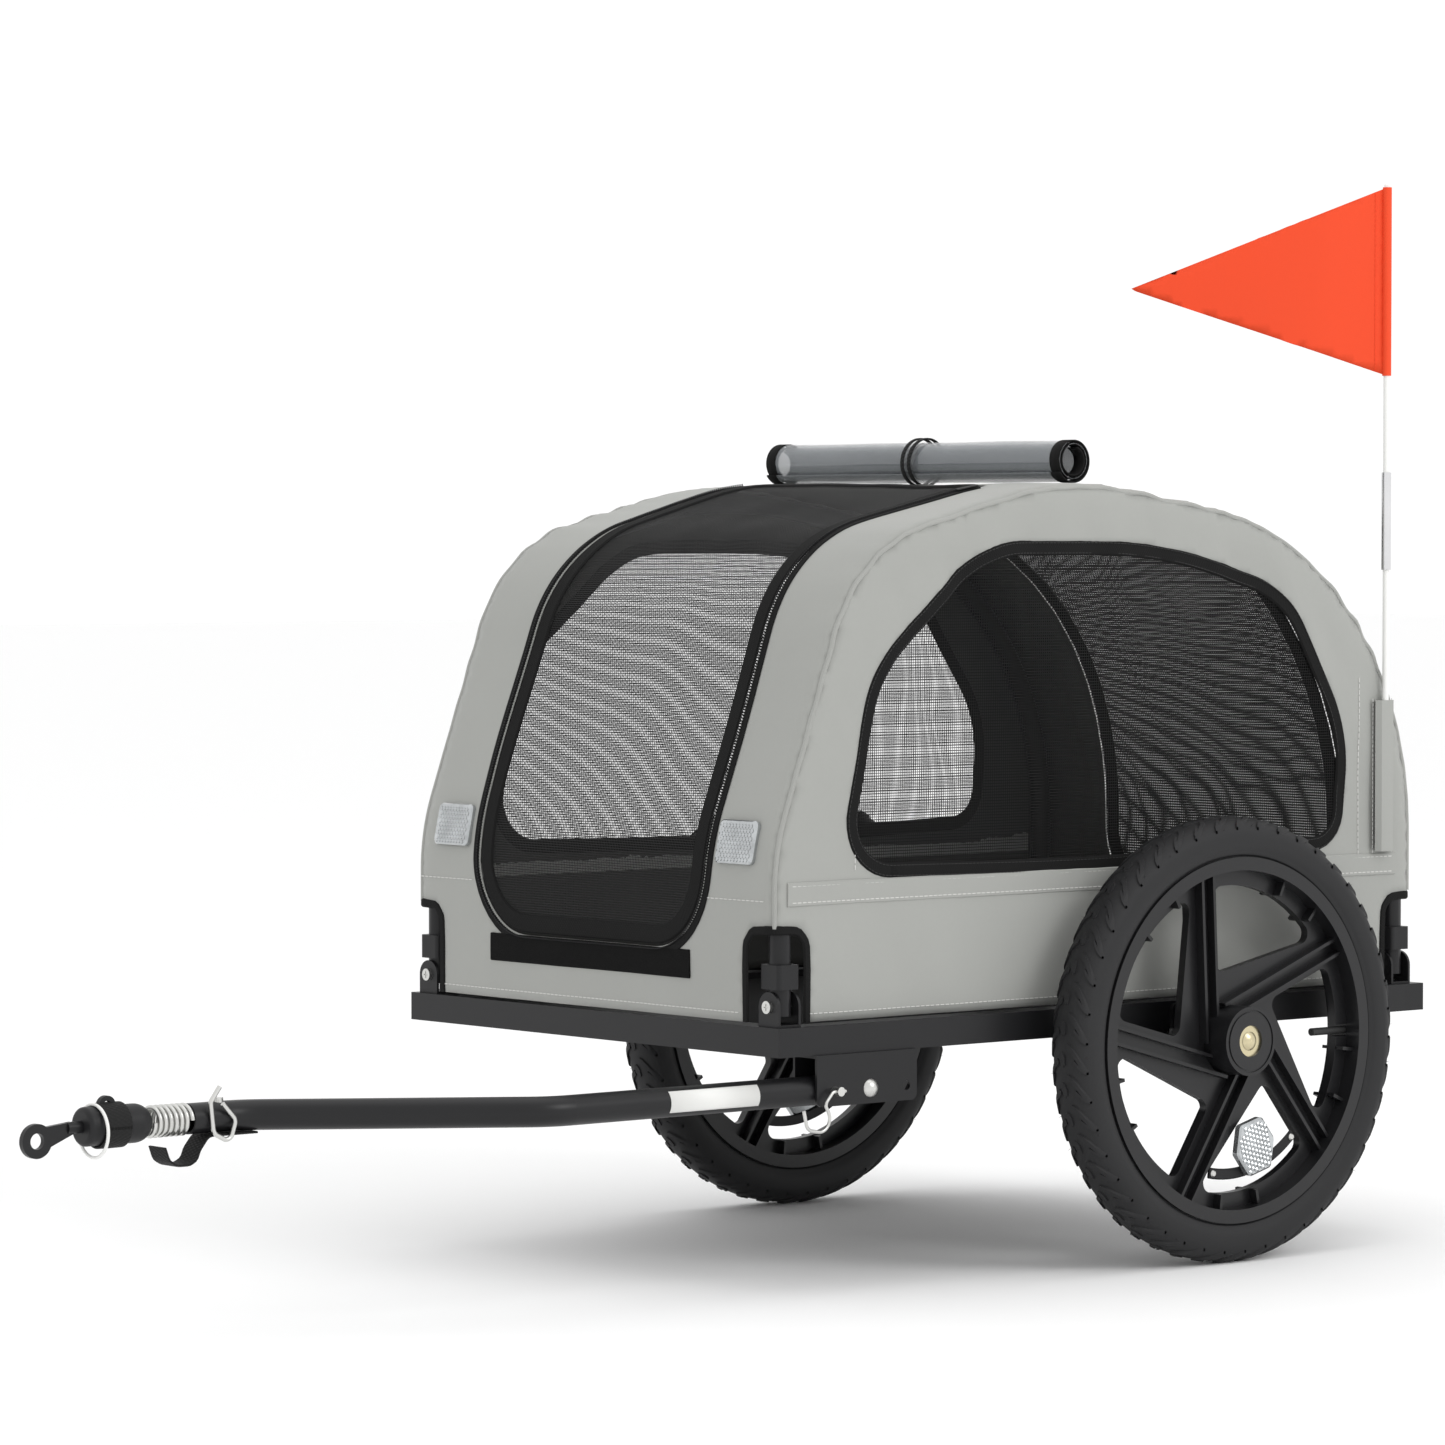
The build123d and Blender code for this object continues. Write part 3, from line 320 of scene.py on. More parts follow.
PILE = Finish("loop_pile", "black_webbing", (0.008, 0.008, 0.008), 0.95, Pattern.PILE, bump=1.0,
              depth=0.0015,
              scale=(1100.0, 14.0), shine=0.1)
THREAD = Finish("grey_thread", "grey_fabric", (0.62, 0.62, 0.60), 0.7)
DARK_THREAD = Finish("black_thread", "black_webbing", (0.02, 0.02, 0.02), 0.6)
STEEL = Finish("black_coat", "black_coated_steel", (0.010, 0.010, 0.011), 0.36, contrast=0.3, bump=0.12,
               scale=(1400.0, 10.0), shine=0.3)
PLASTIC = Finish("black_nylon", "black_plastic", (0.011, 0.011, 0.012), 0.5, contrast=0.25, bump=0.2,
                 shine=0.3)
WHEEL = Finish("wheel_plastic", "rim_plastic", (0.010, 0.010, 0.011), 0.33, contrast=0.3, bump=0.06,
               scale=(500.0, 8.0), shine=0.4)
RUBBER = Finish("tyre", "tyre_rubber", (0.016, 0.016, 0.017), 0.62, contrast=0.35, bump=0.25,
                scale=(1200.0, 20.0), shine=0.3)
TUBE = Finish("tube", "tube_rubber", (0.015, 0.015, 0.015), 0.55)
ZINC = Finish("zinc", "zinc_steel", (0.62, 0.62, 0.60), 0.3, metallic=1.0, contrast=0.12,
              scale=(700.0, 40.0))
YELLOW = Finish("yellow_zinc_plate", "yellow_zinc", (0.62, 0.55, 0.36), 0.3, metallic=1.0, contrast=0.2)
CHROME = Finish("bright_sleeve", "chrome_steel", (0.75, 0.75, 0.76), 0.2, metallic=1.0)
LENS = Finish("reflector_lens", "clear_plastic", (0.46, 0.48, 0.49), 0.12, metallic=0.75, contrast=0.5,
              coat=0.6,
              scale=(500.0, 60.0))
WHITE = Finish("white_ring", "white_plastic", (0.8, 0.8, 0.78), 0.4, contrast=0.05)
POLE = Finish("white_rod", "white_pole", (0.82, 0.82, 0.80), 0.3, contrast=0.04)
FILM = Finish("clear_roll", "clear_film", (0.30, 0.32, 0.34), 0.1, contrast=0.3, alpha=0.34, coat=1.0,
              bump=0.2,
              depth=0.002, scale=(30.0, 9.0))
FLAG = Finish("orange_nylon", "orange_fabric", (0.80, 0.058, 0.008), 0.75, Pattern.WEAVE, contrast=0.06,
              bump=0.15,
              scale=(900.0, 900.0))
BOARD = Finish("floor_mat", "floor_board", (0.02, 0.02, 0.02), 0.85, contrast=0.3, bump=0.4, shine=0.2)
PAPER = Finish("blank_label", "white_plastic", (0.74, 0.74, 0.72), 0.45, contrast=0.05)


# ------------------------------------------------------------------ mesh helpers
def to_mesh(name: str, points: Iterable[Point], faces: Iterable[Sequence[int]],
            uv: Sequence[Point] = ()) -> bpy.types.Mesh:
    """Makes a mesh.

    Args:
        name: its name.
        points: its corners, in metres.
        faces: the corners of each face.
        uv: a flat place for each point, in metres.

    Returns:
        The mesh.
    """
    mesh = bpy.data.meshes.new(name)
    mesh.from_pydata([tuple(p) for p in points], [], [tuple(f) for f in faces])
    if len(uv):
        layer = mesh.uv_layers.new(name="UVMap")
        for loop in mesh.loops:
            layer.data[loop.index].uv = uv[loop.vertex_index][:2]
    mesh.validate()
    return mesh


def piece(name: str, mesh: bpy.types.Mesh, finish: Finish, body: str, replaces: Sequence[str] = (),
          sharp: float = 40.0) -> bpy.types.Object:
    """Makes a mesh a finished piece on a body.

    Args:
        name: the piece's name.
        mesh: its mesh, in the row frame.
        finish: its material.
        body: the body that it rides on.
        replaces: the CAD nodes that it stands for.
        sharp: the angle in degrees past which an edge stays sharp.

    Returns:
        The object.
    """
    mesh.materials.clear()
    mesh.materials.append(finish.material())
    mesh.polygons.foreach_set("use_smooth", [True] * len(mesh.polygons))
    mesh.set_sharp_from_angle(angle=math.radians(sharp))
    made = bpy.data.objects.new(name, mesh)
    bpy.context.collection.objects.link(made)
    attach(made, body)
    if replaces:
        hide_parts(*replaces)
    log.info("%s on %s, %d faces", name, body, len(mesh.polygons))
    return made


def soften(made: bpy.types.Object) -> bpy.types.Object:
    """Gives a cover piece its own copy of its mesh, and gives it back."""
    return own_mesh(made)


def dress(finish: Finish, *nodes: str) -> None:
    """Gives CAD nodes a finish.

    Args:
        finish: the finish.
        nodes: the nodes' names.
    """
    for name in nodes:
        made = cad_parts[name]
        if not made.material_slots:
            made.data.materials.append(finish.material())
        for place in made.material_slots:
            place.material = finish.material()


def even(points: np.ndarray, step: float, closed: bool = False) -> np.ndarray:
    """Spaces points evenly along a line.

    Args:
        points: the line's points.
        step: the distance wanted between them.
        closed: whether the line is a loop.

    Returns:
        The new points. A loop doesn't repeat its first.
    """
    line = np.vstack([points, points[:1]]) if closed else points
    ends = np.concatenate([[0], np.cumsum(np.linalg.norm(np.diff(line, axis=0), axis=1))])
    count = max(2, round(ends[-1] / step))
    places = np.linspace(0, ends[-1], count + 1)[: count if closed else None]
    return np.stack([np.interp(places, ends, line[:, i]) for i in range(line.shape[1])], axis=1)


def rounded(corners: Sequence[Point], radii: Sequence[float], closed: bool = False) -> np.ndarray:
    """Joins flat corners with arcs.

    Args:
        corners: the corners.
        radii: the arc's radius at each one. An open line's ends have none.
        closed: whether the line is a loop.

    Returns:
        Points along the runs and arcs.
    """
    found, count = [], len(corners)
    spots = np.array(corners, float)
    for i, spot in enumerate(spots):
        if not closed and i in (0, count - 1):
            found.append(spot)
            continue
        back, ahead = spots[i - 1] - spot, spots[(i + 1) % count] - spot
        back, ahead = back / np.linalg.norm(back), ahead / np.linalg.norm(ahead)
        half = math.acos(float(np.clip(back @ ahead, -1, 1))) / 2
        if radii[i] <= 0 or half > 1.56:
            found.append(spot)
            continue
        centre = spot + (back + ahead) / np.linalg.norm(back + ahead) * radii[i] / math.sin(half)
        reach = radii[i] / math.tan(half)
        first, last = spot + back * reach - centre, spot + ahead * reach - centre
        for t in np.linspace(0, 1, 13):
            way = first * (1 - t) + last * t
            found.append(centre + way / np.linalg.norm(way) * radii[i])
    return np.array(found)


def inside(points: np.ndarray, loop: np.ndarray) -> np.ndarray:
    """Says which points lie inside a flat loop.

    Args:
        points: the points.
        loop: the loop's corners.

    Returns:
        A truth value for each point.
    """
    result = np.zeros(len(points), bool)
    for (ax, ay), (bx, by) in zip(loop, np.roll(loop, -1, axis=0)):
        if ay != by:
            crosses = ((ay > points[:, 1]) != (by > points[:, 1]))
            result ^= crosses & (points[:, 0] < (bx - ax) * (points[:, 1] - ay) / (by - ay) + ax)
    return result


@dataclass
class Cloth:
    """A flat cut of cloth that is laid onto a surface."""

    outer: np.ndarray
    holes: list
    place: Place
    grain: float = 0.009
    flip: bool = False

    def mesh(self, name: str, lift: float = 0.0) -> tuple:
        """Fills the cut with small faces and lays it.

        Args:
            name: the mesh's name.
            lift: how far the cloth stands off the surface.

        Returns:
            The mesh and the cut's flat area.
        """
        loops = [even(loop, self.grain, True) for loop in [self.outer, *self.holes]]
        low, high = self.outer.min(0), self.outer.max(0)
        grid = np.array([(u + (j % 2) * self.grain / 2, v) for j,
                         v in enumerate(np.arange(low[1], high[1], self.grain))
                         for u in np.arange(low[0], high[0], self.grain)])
        rims = np.vstack(loops)
        clear = np.array([np.min(np.sum((rims - p) ** 2, axis=1)) for p in grid]) > (0.6 * self.grain) ** 2
        grid = grid[clear & self.holds(grid, loops)]
        points, edges = [], []
        for loop in loops:
            start = len(points)
            edges += [(start + i, start + (i + 1) % len(loop)) for i in range(len(loop))]
            points += list(loop)
        points += list(grid)
        verts, _, faces = delaunay_2d_cdt([Vector(p) for p in points], edges, [], 0, 1e-7)[:3]
        flat = np.array([tuple(v) for v in verts])
        middle = np.array([flat[list(face)].mean(0) for face in faces])
        faces = [face for face, held in zip(faces, self.holds(middle, loops)) if held]
        if self.flip:
            faces = [tuple(reversed(face)) for face in faces]
        area = sum(abs(float(np.cross(flat[f[1]] - flat[f[0]],
                                      flat[f[2]] - flat[f[0]]))) / 2 for f in faces)
        return to_mesh(name, [self.place(u, v, lift) for u, v in flat], faces, flat), area

    @staticmethod
    def holds(points: np.ndarray, loops: list) -> np.ndarray:
        """Says which points lie in the first loop and in none of the rest."""
        held = inside(points, loops[0])
        for hole in loops[1:]:
            held &= ~inside(points, hole)
        return held


def wall(made: bpy.types.Object, thickness: float, lining: Finish | None = None) -> bpy.types.Object:
    """Gives a sheet its thickness, inwards.

    Args:
        made: the sheet.
        thickness: its thickness.
        lining: the finish of its inner face, if that differs.

    Returns:
        The sheet.
    """
    modifier = made.modifiers.new("wall", "SOLIDIFY")
    modifier.thickness = thickness
    modifier.offset = -1
    if lining:
        made.data.materials.append(lining.material())
        modifier.material_offset = 1
    return made


def tape_mesh(name: str, line: Sequence[Vector], ups: Sequence[Vector], width: float, low: float,
              high: float,
              closed: bool = False) -> bpy.types.Mesh:
    """Makes a flat tape with rounded edges along a line.

    Args:
        name: the mesh's name.
        line: the points that it follows.
        ups: which way its face looks at each point.
        width: the tape's width.
        low: how far its back lies below the line.
        high: how far its face lies above the line.
        closed: whether it is a loop.

    Returns:
        The mesh, whose flat places run across and along the tape.
    """
    half, edge = width / 2, min(width / 5, (high + low) / 2)
    middle = (high - low) / 2
    section = [(-half, middle), (-half + edge, high), (0, high * 1.06), (half - edge, high), (half, middle),
               (half - edge, -low), (-half + edge, -low)]
    points, uv, faces, size, count = [], [], [], len(section), len(line)
    run = 0.0
    for i, (spot, up) in enumerate(zip(line, ups)):
        back = line[i - 1] if i or closed else line[i]
        ahead = line[(i + 1) % count] if closed or i + 1 < count else line[i]
        along = (ahead - back).normalized()
        side = along.cross(up).normalized()
        run += (spot - line[i - 1]).length if i else 0.0
        for across, rise in section:
            points.append(spot + side * across + side.cross(along) * rise)
            uv.append((across, run))
    for i in range(count if closed else count - 1):
        a, b = i * size, ((i + 1) % count) * size
        faces += [(a + j, b + j, b + (j + 1) % size, a + (j + 1) % size) for j in range(size)]
    if not closed:
        faces += [tuple(range(size)), tuple(reversed(range((count - 1) * size, count * size)))]
    return to_mesh(name, points, faces, uv)


def on_surface(cut: np.ndarray, place: Place, lift: float = 0.0) -> tuple:
    """Lays a flat line on a surface.

    Args:
        cut: the line's flat points.
        place: where a flat point lies.
        lift: how far the line stands off.

    Returns:
        The line's points, and the surface's outward way at each.
    """
    line = [place(u, v, lift) for u, v in cut]
    return line, [(place(u, v, lift + 0.01) - spot).normalized() for (u, v), spot in zip(cut, line)]


def lathe(name: str, profile: Sequence[Point], centre: Vector, steps: int) -> bpy.types.Mesh:
    """Turns a profile round an axis along X.

    Args:
        name: the mesh's name.
        profile: a loop of places along X and out from the axis.
        centre: the axis's middle.
        steps: faces round the axis.

    Returns:
        The mesh.
    """
    size = len(profile)
    points, faces, uv = [], [], []
    for i in range(steps):
        turn = math.tau * i / steps
        for x, r in profile:
            points.append(centre + Vector((x, r * math.cos(turn), r * math.sin(turn))))
            uv.append((x, r * turn))
        after = (i + 1) % steps
        for j in range(size):
            k = (j + 1) % size
            faces.append((i * size + j, i * size + k, after * size + k, after * size + j))
    return to_mesh(name, points, faces, uv)


def stack_faces(levels: int, count: int) -> list:
    """Joins equal outlines that lie one above another.

    Args:
        levels: how many outlines there are.
        count: the points in each.

    Returns:
        The walls between them, and a cap at each end.
    """
    walls = [(k * count + i, k * count + (i + 1) % count, (k + 1) * count + (i + 1) % count,
              (k + 1) * count + i)
             for k in range(levels - 1) for i in range(count)]
    return walls + [tuple(range((levels - 1) * count, levels * count)), tuple(reversed(range(count)))]


def pipe(name: str, line: Sequence[Vector], radius: float) -> bpy.types.Mesh:
    """Makes a round bar along a smooth line.

    Args:
        name: the mesh's name.
        line: the points that it follows.
        radius: its radius.

    Returns:
        The mesh.
    """
    curve = bpy.data.curves.new(name, "CURVE")
    curve.dimensions = "3D"
    curve.bevel_depth, curve.bevel_resolution, curve.use_fill_caps = radius, 2, True
    spline = curve.splines.new("POLY")
    spline.points.add(len(line) - 1)
    for spot, where in zip(spline.points, line):
        spot.co = (*where, 1)
    holder = bpy.data.objects.new(name, curve)
    bpy.context.collection.objects.link(holder)
    graph = bpy.context.evaluated_depsgraph_get()
    mesh = bpy.data.meshes.new_from_object(holder.evaluated_get(graph), depsgraph=graph)
    bpy.data.objects.remove(holder)
    return mesh


# ------------------------------------------------------------------ geometry node trees
class Repeats:
    """Node trees that lay small shapes along a line, round an axle or over a set of points."""

    def __init__(self) -> None:
        """Builds the trees."""
        self.dashes = self.make_dashes()
        self.ring = self.make_ring()
        self.studs = self.make_studs()

    @staticmethod
    def finish_tree(graph: Graph, start: bpy.types.Node, end: bpy.types.Node,
                    placed: bpy.types.Node) -> None:
        """Makes the instances real and gives them the material."""
        real = graph.add("GeometryNodeRealizeInstances")
        graph.feed(real.inputs[0], placed.outputs[0])
        dressed = graph.add("GeometryNodeSetMaterial")
        graph.feed(dressed.inputs["Geometry"], real.outputs[0])
        graph.feed(dressed.inputs["Material"], start.outputs["Material"])
        graph.feed(end.inputs[0], dressed.outputs[0])

    def make_dashes(self) -> bpy.types.NodeTree:
        """Short round bars, such as stitches or zip teeth, spaced along a line.

        Returns:
            The tree.
        """
        number = "NodeSocketFloat"
        sockets = [("Geometry", "NodeSocketGeometry", None), ("Spacing", number, 0.004),
                   ("Length", number, 0.003),
                   ("Radius", number, 0.0004), ("Across", "NodeSocketVector", (0, 0, 0)),
                   ("Material", "NodeSocketMaterial", None)]
        graph, start, end = new_group("dashes", "GeometryNodeTree", sockets,
                                      [("Geometry", "NodeSocketGeometry")])
        curve = graph.add("GeometryNodeMeshToCurve")
        graph.feed(curve.inputs[0], start.outputs["Geometry"])
        points = graph.add("GeometryNodeCurveToPoints", mode="LENGTH")
        graph.feed(points.inputs["Curve"], curve.outputs[0])
        graph.feed(points.inputs["Length"], start.outputs["Spacing"])
        bar = graph.add("GeometryNodeMeshCylinder")
        bar.inputs["Vertices"].default_value = 5
        graph.feed(bar.inputs["Radius"], start.outputs["Radius"])
        graph.feed(bar.inputs["Depth"], start.outputs["Length"])
        turned = graph.add("GeometryNodeTransform")
        graph.feed(turned.inputs["Geometry"], bar.outputs["Mesh"])
        graph.feed(turned.inputs["Rotation"], start.outputs["Across"])
        placed = graph.add("GeometryNodeInstanceOnPoints")
        graph.feed(placed.inputs["Points"], points.outputs["Points"])
        graph.feed(placed.inputs["Instance"], turned.outputs[0])
        graph.feed(placed.inputs["Rotation"], points.outputs["Rotation"])
        self.finish_tree(graph, start, end, placed)
        return graph.tree

    def make_ring(self) -> bpy.types.NodeTree:
        """Copies of a shape turned round an axis along X.

        Returns:
            The tree.
        """
        sockets = [("Geometry", "NodeSocketGeometry", None), ("Count", "NodeSocketInt", 40),
                   ("Centre", "NodeSocketVector", (0, 0, 0)), ("Material", "NodeSocketMaterial", None)]
        graph, start, end = new_group("ring", "GeometryNodeTree", sockets,
                                      [("Geometry", "NodeSocketGeometry")])
        line = graph.add("GeometryNodeMeshLine")
        graph.feed(line.inputs["Count"], start.outputs["Count"])
        graph.feed(line.inputs["Offset"], (0, 0, 0))
        index = graph.add("GeometryNodeInputIndex")
        turn = graph.math("MULTIPLY", graph.math("DIVIDE", index.outputs[0], start.outputs["Count"]),
                          math.tau)
        angles = graph.add("ShaderNodeCombineXYZ")
        graph.feed(angles.inputs["X"], turn)
        rotation = graph.add("FunctionNodeEulerToRotation")
        graph.feed(rotation.inputs[0], angles.outputs[0])
        placed = graph.add("GeometryNodeInstanceOnPoints")
        graph.feed(placed.inputs["Points"], line.outputs[0])
        graph.feed(placed.inputs["Instance"], start.outputs["Geometry"])
        graph.feed(placed.inputs["Rotation"], rotation.outputs[0])
        moved = graph.add("GeometryNodeTransform")
        graph.feed(moved.inputs["Geometry"], placed.outputs[0])
        graph.feed(moved.inputs["Translation"], start.outputs["Centre"])
        self.finish_tree(graph, start, end, moved)
        return graph.tree

    def make_studs(self) -> bpy.types.NodeTree:
        """Six-sided pyramids on points, such as a reflector's prisms.

        Returns:
            The tree.
        """
        number = "NodeSocketFloat"
        sockets = [("Geometry", "NodeSocketGeometry", None), ("Radius", number, 0.002),
                   ("Height", number, 0.001),
                   ("Tilt", "NodeSocketVector", (0, 0, 0)), ("Material", "NodeSocketMaterial", None)]
        graph, start, end = new_group("studs", "GeometryNodeTree", sockets,
                                      [("Geometry", "NodeSocketGeometry")])
        cone = graph.add("GeometryNodeMeshCone")
        cone.inputs["Vertices"].default_value = 6
        graph.feed(cone.inputs["Radius Bottom"], start.outputs["Radius"])
        graph.feed(cone.inputs["Radius Top"], 0.0)
        graph.feed(cone.inputs["Depth"], start.outputs["Height"])
        rotation = graph.add("FunctionNodeEulerToRotation")
        graph.feed(rotation.inputs[0], start.outputs["Tilt"])
        placed = graph.add("GeometryNodeInstanceOnPoints")
        graph.feed(placed.inputs["Points"], start.outputs["Geometry"])
        graph.feed(placed.inputs["Instance"], cone.outputs["Mesh"])
        graph.feed(placed.inputs["Rotation"], rotation.outputs[0])
        self.finish_tree(graph, start, end, placed)
        return graph.tree

    @staticmethod
    def run(tree: bpy.types.NodeTree, name: str, mesh: bpy.types.Mesh, **inputs: object) -> bpy.types.Mesh:
        """Runs a tree on a mesh.

        Args:
            tree: the tree.
            name: the result's name.
            mesh: what goes in.
            inputs: values of the named inputs.

        Returns:
            The result as a plain mesh.
        """
        holder = bpy.data.objects.new(name, mesh)
        bpy.context.collection.objects.link(holder)
        modifier = holder.modifiers.new("repeat", "NODES")
        modifier.node_group = tree
        for item in tree.interface.items_tree:
            if item.in_out == "INPUT" and item.name in inputs:
                modifier[item.identifier] = inputs[item.name]
        graph = bpy.context.evaluated_depsgraph_get()
        result = bpy.data.meshes.new_from_object(holder.evaluated_get(graph), depsgraph=graph)
        bpy.data.objects.remove(holder)
        result.name = name
        return result


REPEATS = Repeats()


def stitch_mesh(name: str, lines: Sequence[Sequence[Vector]], finish: Finish, spacing: float = 0.0042,
                length: float = 0.003, radius: float = 0.00035,
                across: Point = (0, 0, 0)) -> bpy.types.Mesh:
    """Sews along lines.

    Args:
        name: the result's name.
        lines: the points of each line.
        finish: the thread.
        spacing: from one stitch to the next.
        length: a stitch's length.
        radius: the thread's radius.
        across: turns each stitch from the line's own way.

    Returns:
        The stitches' mesh.
    """
    points, edges = [], []
    for line in lines:
        edges += [(len(points) + i, len(points) + i + 1) for i in range(len(line) - 1)]
        points += [tuple(p) for p in line]
    mesh = bpy.data.meshes.new(name)
    mesh.from_pydata(points, edges, [])
    return REPEATS.run(REPEATS.dashes, name, mesh, Spacing=spacing, Length=length, Radius=radius,
                       Across=across,
                       Material=finish.material())


def prism_mesh(spots: Iterable[Vector], radius: float, height: float, tilt: Point) -> bpy.types.Mesh:
    """Sets a reflector's prisms on points.

    Args:
        spots: where they stand.
        radius: a prism's radius.
        height: a prism's height.
        tilt: the turn from the Z axis to the reflector's outward way.

    Returns:
        The prisms' mesh.
    """
    mesh = bpy.data.meshes.new("spots")
    mesh.from_pydata([tuple(p) for p in spots], [], [])
    return REPEATS.run(REPEATS.studs, "prisms", mesh, Radius=radius, Height=height, Tilt=tilt,
                       Material=LENS.material())


# ------------------------------------------------------------------ cabin
@dataclass
class Cabin:
    """The fabric cabin: a sheet over front, roof and rear, two sides, windows, doors and trim."""

    half: float = 0.2505
    hem: float = 0.236
    round_over: float = 0.009
    sheet: float = 0.0009
    seam_in: float = 0.0026
    door_half: float = 0.160
    door_corner: float = 0.070
    sill: float = 0.294
    hinges: tuple = (-0.060, 0.150)
    notch: tuple = ((0.2135, 0.0), (0.2138, 0.045), (0.215, 0.068), (0.2235, 0.0785), (0.238, 0.0795),
                    (NOTCH_REACH, 0.0795))
    corners: tuple = ((FRONT_Y, 0.236), (FRONT_Y, 0.382), (-0.299, 0.643), (-0.051, 0.705),
                      (REAR_Y, 0.636), (REAR_Y, 0.236))
    radii: tuple = (0, 0.2, 0.15, 0.4, 0.3, 0)
    window: tuple = ((-0.316, 0.363), (-0.276, 0.534), (-0.150, 0.640), (0.060, 0.640), (0.215, 0.600),
                     (0.300, 0.470),
                     (0.292, 0.368), (-0.020, 0.358))
    window_radii: tuple = (0.045, 0.11, 0.12, 0.6, 0.10, 0.12, 0.035, 3.0)
    outline: np.ndarray = field(init=False)
    run: np.ndarray = field(init=False)

    def __post_init__(self) -> None:
        """Works out the side outline and the distance along it."""
        self.outline = even(rounded(self.corners, self.radii), 0.006)
        steps = np.linalg.norm(np.diff(self.outline, axis=0), axis=1)
        self.run = np.concatenate([[0], np.cumsum(steps)])

    def at(self, s: float) -> tuple:
        """Finds a place along the outline.

        Args:
            s: the distance from the front hem.

        Returns:
            The place, and the outward way there, each along Y and Z.
        """
        step = 0.004
        spot = np.array([np.interp(s, self.run, self.outline[:, i]) for i in (0, 1)])
        a, b = (np.array([np.interp(s + d, self.run,
                                    self.outline[:, i]) for i in (0, 1)]) for d in (-step, step))
        way = (b - a) / np.linalg.norm(b - a)
        return spot, np.array([-way[1], way[0]])

    def s_at_y(self, y: float) -> float:
        """The distance along the outline to a place on the roof."""
        roof = self.outline[:, 1] > 0.5
        return float(np.interp(y, self.outline[roof, 0], self.run[roof]))

    def over(self, x: float, s: float, lift: float) -> Vector:
        """Places a point of the front, roof and rear sheet, with its sag and puckers."""
        spot, way = self.at(s)
        edge = abs(x) - (self.half - self.round_over)
        drop = self.round_over - math.sqrt(max(self.round_over**2 - edge**2, 0)) if edge > 0 else 0.0
        near = math.exp(-(self.half - abs(x)) / 0.03)
        high = min(max((spot[1] - 0.42) / 0.15, 0), 1)
        seed = 7.0 if x > 0 else 19.0
        pucker = math.sin(s * 150 + 5 * noise.noise(Vector((s * 9, seed, 0)))) * near * high
        pucker *= 0.0016 * (0.5 + noise.noise(Vector((s * 7, 3, seed))))
        slack = 0.0034 * noise.noise(Vector((x * 6, s * 6,
                                             2.0))) + 0.0012 * noise.noise(Vector((x * 17, s * 9, 5.0)))
        rise = lift - drop + pucker + slack * (1 - near)
        return Vector((x, spot[0] + way[0] * rise + SHIFT, spot[1] + way[1] * rise))

    def beside(self, side: float) -> Place:
        """Gives the placing of a side panel's points.

        Args:
            side: 1 on the left, -1 on the right.

        Returns:
            A function from Y, Z and lift to a point.
        """

        def place(y: float, z: float, lift: float) -> Vector:
            """Places a point of the side panel, with its slack, folds and rounded edge."""
            away = self.outline - (y, z)
            edge = float(np.sqrt(np.min(np.sum(away * away, axis=1))))
            drop = 0.0
            if edge < self.round_over and z > self.hem + 0.012:
                drop = self.round_over - math.sqrt(self.round_over**2 - (self.round_over - edge) ** 2)
            inner = min(edge / 0.09, 1) ** 2
            folds = 0.0042 * noise.noise(Vector((y * 17 + z * 6, z * 5, side * 3)))
            folds += 0.0020 * noise.noise(Vector((y * 36 + z * 16, z * 10, side * 4)))
            high = min(max((z - 0.36) / 0.2, 0), 1)
            creases = folds * (0.35 + 0.65 * high) * min(edge / 0.03, 1)
            sag = -0.0035 * inner * (1 - math.exp(-(((z - 0.29) / 0.07) ** 2)))
            floor = -0.0002 - 0.006 * min(max((edge - 0.03) / 0.03, 0), 1)
            rise = max(creases + sag, floor)
            return Vector((side * (self.half + lift - drop + rise), y + SHIFT, z))

        return place

    def opening(self, front: bool, inset: float = 0.0) -> np.ndarray:
        """The cut of a door's opening.

        Args:
            front: whether it is the front door.
            inset: how far inside the opening it runs.

        Returns:
            The loop, across and along the sheet.
        """
        total = float(self.run[-1])
        low = self.sill - self.hem + inset
        high = self.s_at_y(self.hinges[0] if front else self.hinges[1])
        top = high - inset if front else total - high - inset
        half, corner = self.door_half - inset, self.door_corner - inset
        cut = rounded([(-half, top), (-half, low), (half, low), (half, top)],
                      [0.012, corner, corner, 0.012], True)
        return cut if front else np.stack([-cut[:, 0], total - cut[:, 1]], axis=1)

    def zip_line(self, front: bool, inset: float) -> np.ndarray:
        """The flat line of a door's zip, down one side, along the sill and up the other.

        Args:
            front: whether it is the front door.
            inset: how far inside the opening it runs.

        Returns:
            The line's points. It stops short of the hinge.
        """
        loop = even(self.opening(front, inset), 0.006, True)
        hinge = loop[:, 1].max() if front else loop[:, 1].min()
        away = np.abs(loop[:, 1] - hinge) > HINGE_GAP
        first = int(np.argmax(away & ~np.roll(away, 1)))
        turned, kept = np.roll(loop, -first, axis=0), np.roll(away, -first)
        return turned[kept]

    def sheet_cut(self) -> np.ndarray:
        """The loop of the long sheet, with a notch at each corner."""
        total, half = float(self.run[-1]), self.half - self.seam_in
        curve = [(min(u, half), v) for u, v in self.notch]
        front = [(-u, v) for u, v in reversed(curve)] + curve
        rear = [(u, total - v) for u, v in reversed(curve)] + [(-u, total - v) for u, v in curve]
        return np.array(front + rear)

    def side_cut(self) -> np.ndarray:
        """The loop of a side panel, with a notch at each corner."""
        deep = [(y, z) for y, z in self.shifted(self.outline, self.seam_in) if z > self.hem + 0.080]
        deep = [(y, z) for y, z in deep if abs(y) < 0.40]
        front = [(FRONT_Y + NOTCH_REACH - u, self.hem + v) for u, v in self.notch]
        back = [(REAR_Y - NOTCH_REACH + u, self.hem + v) for u, v in self.notch]
        return np.array(front + deep + list(reversed(back)))

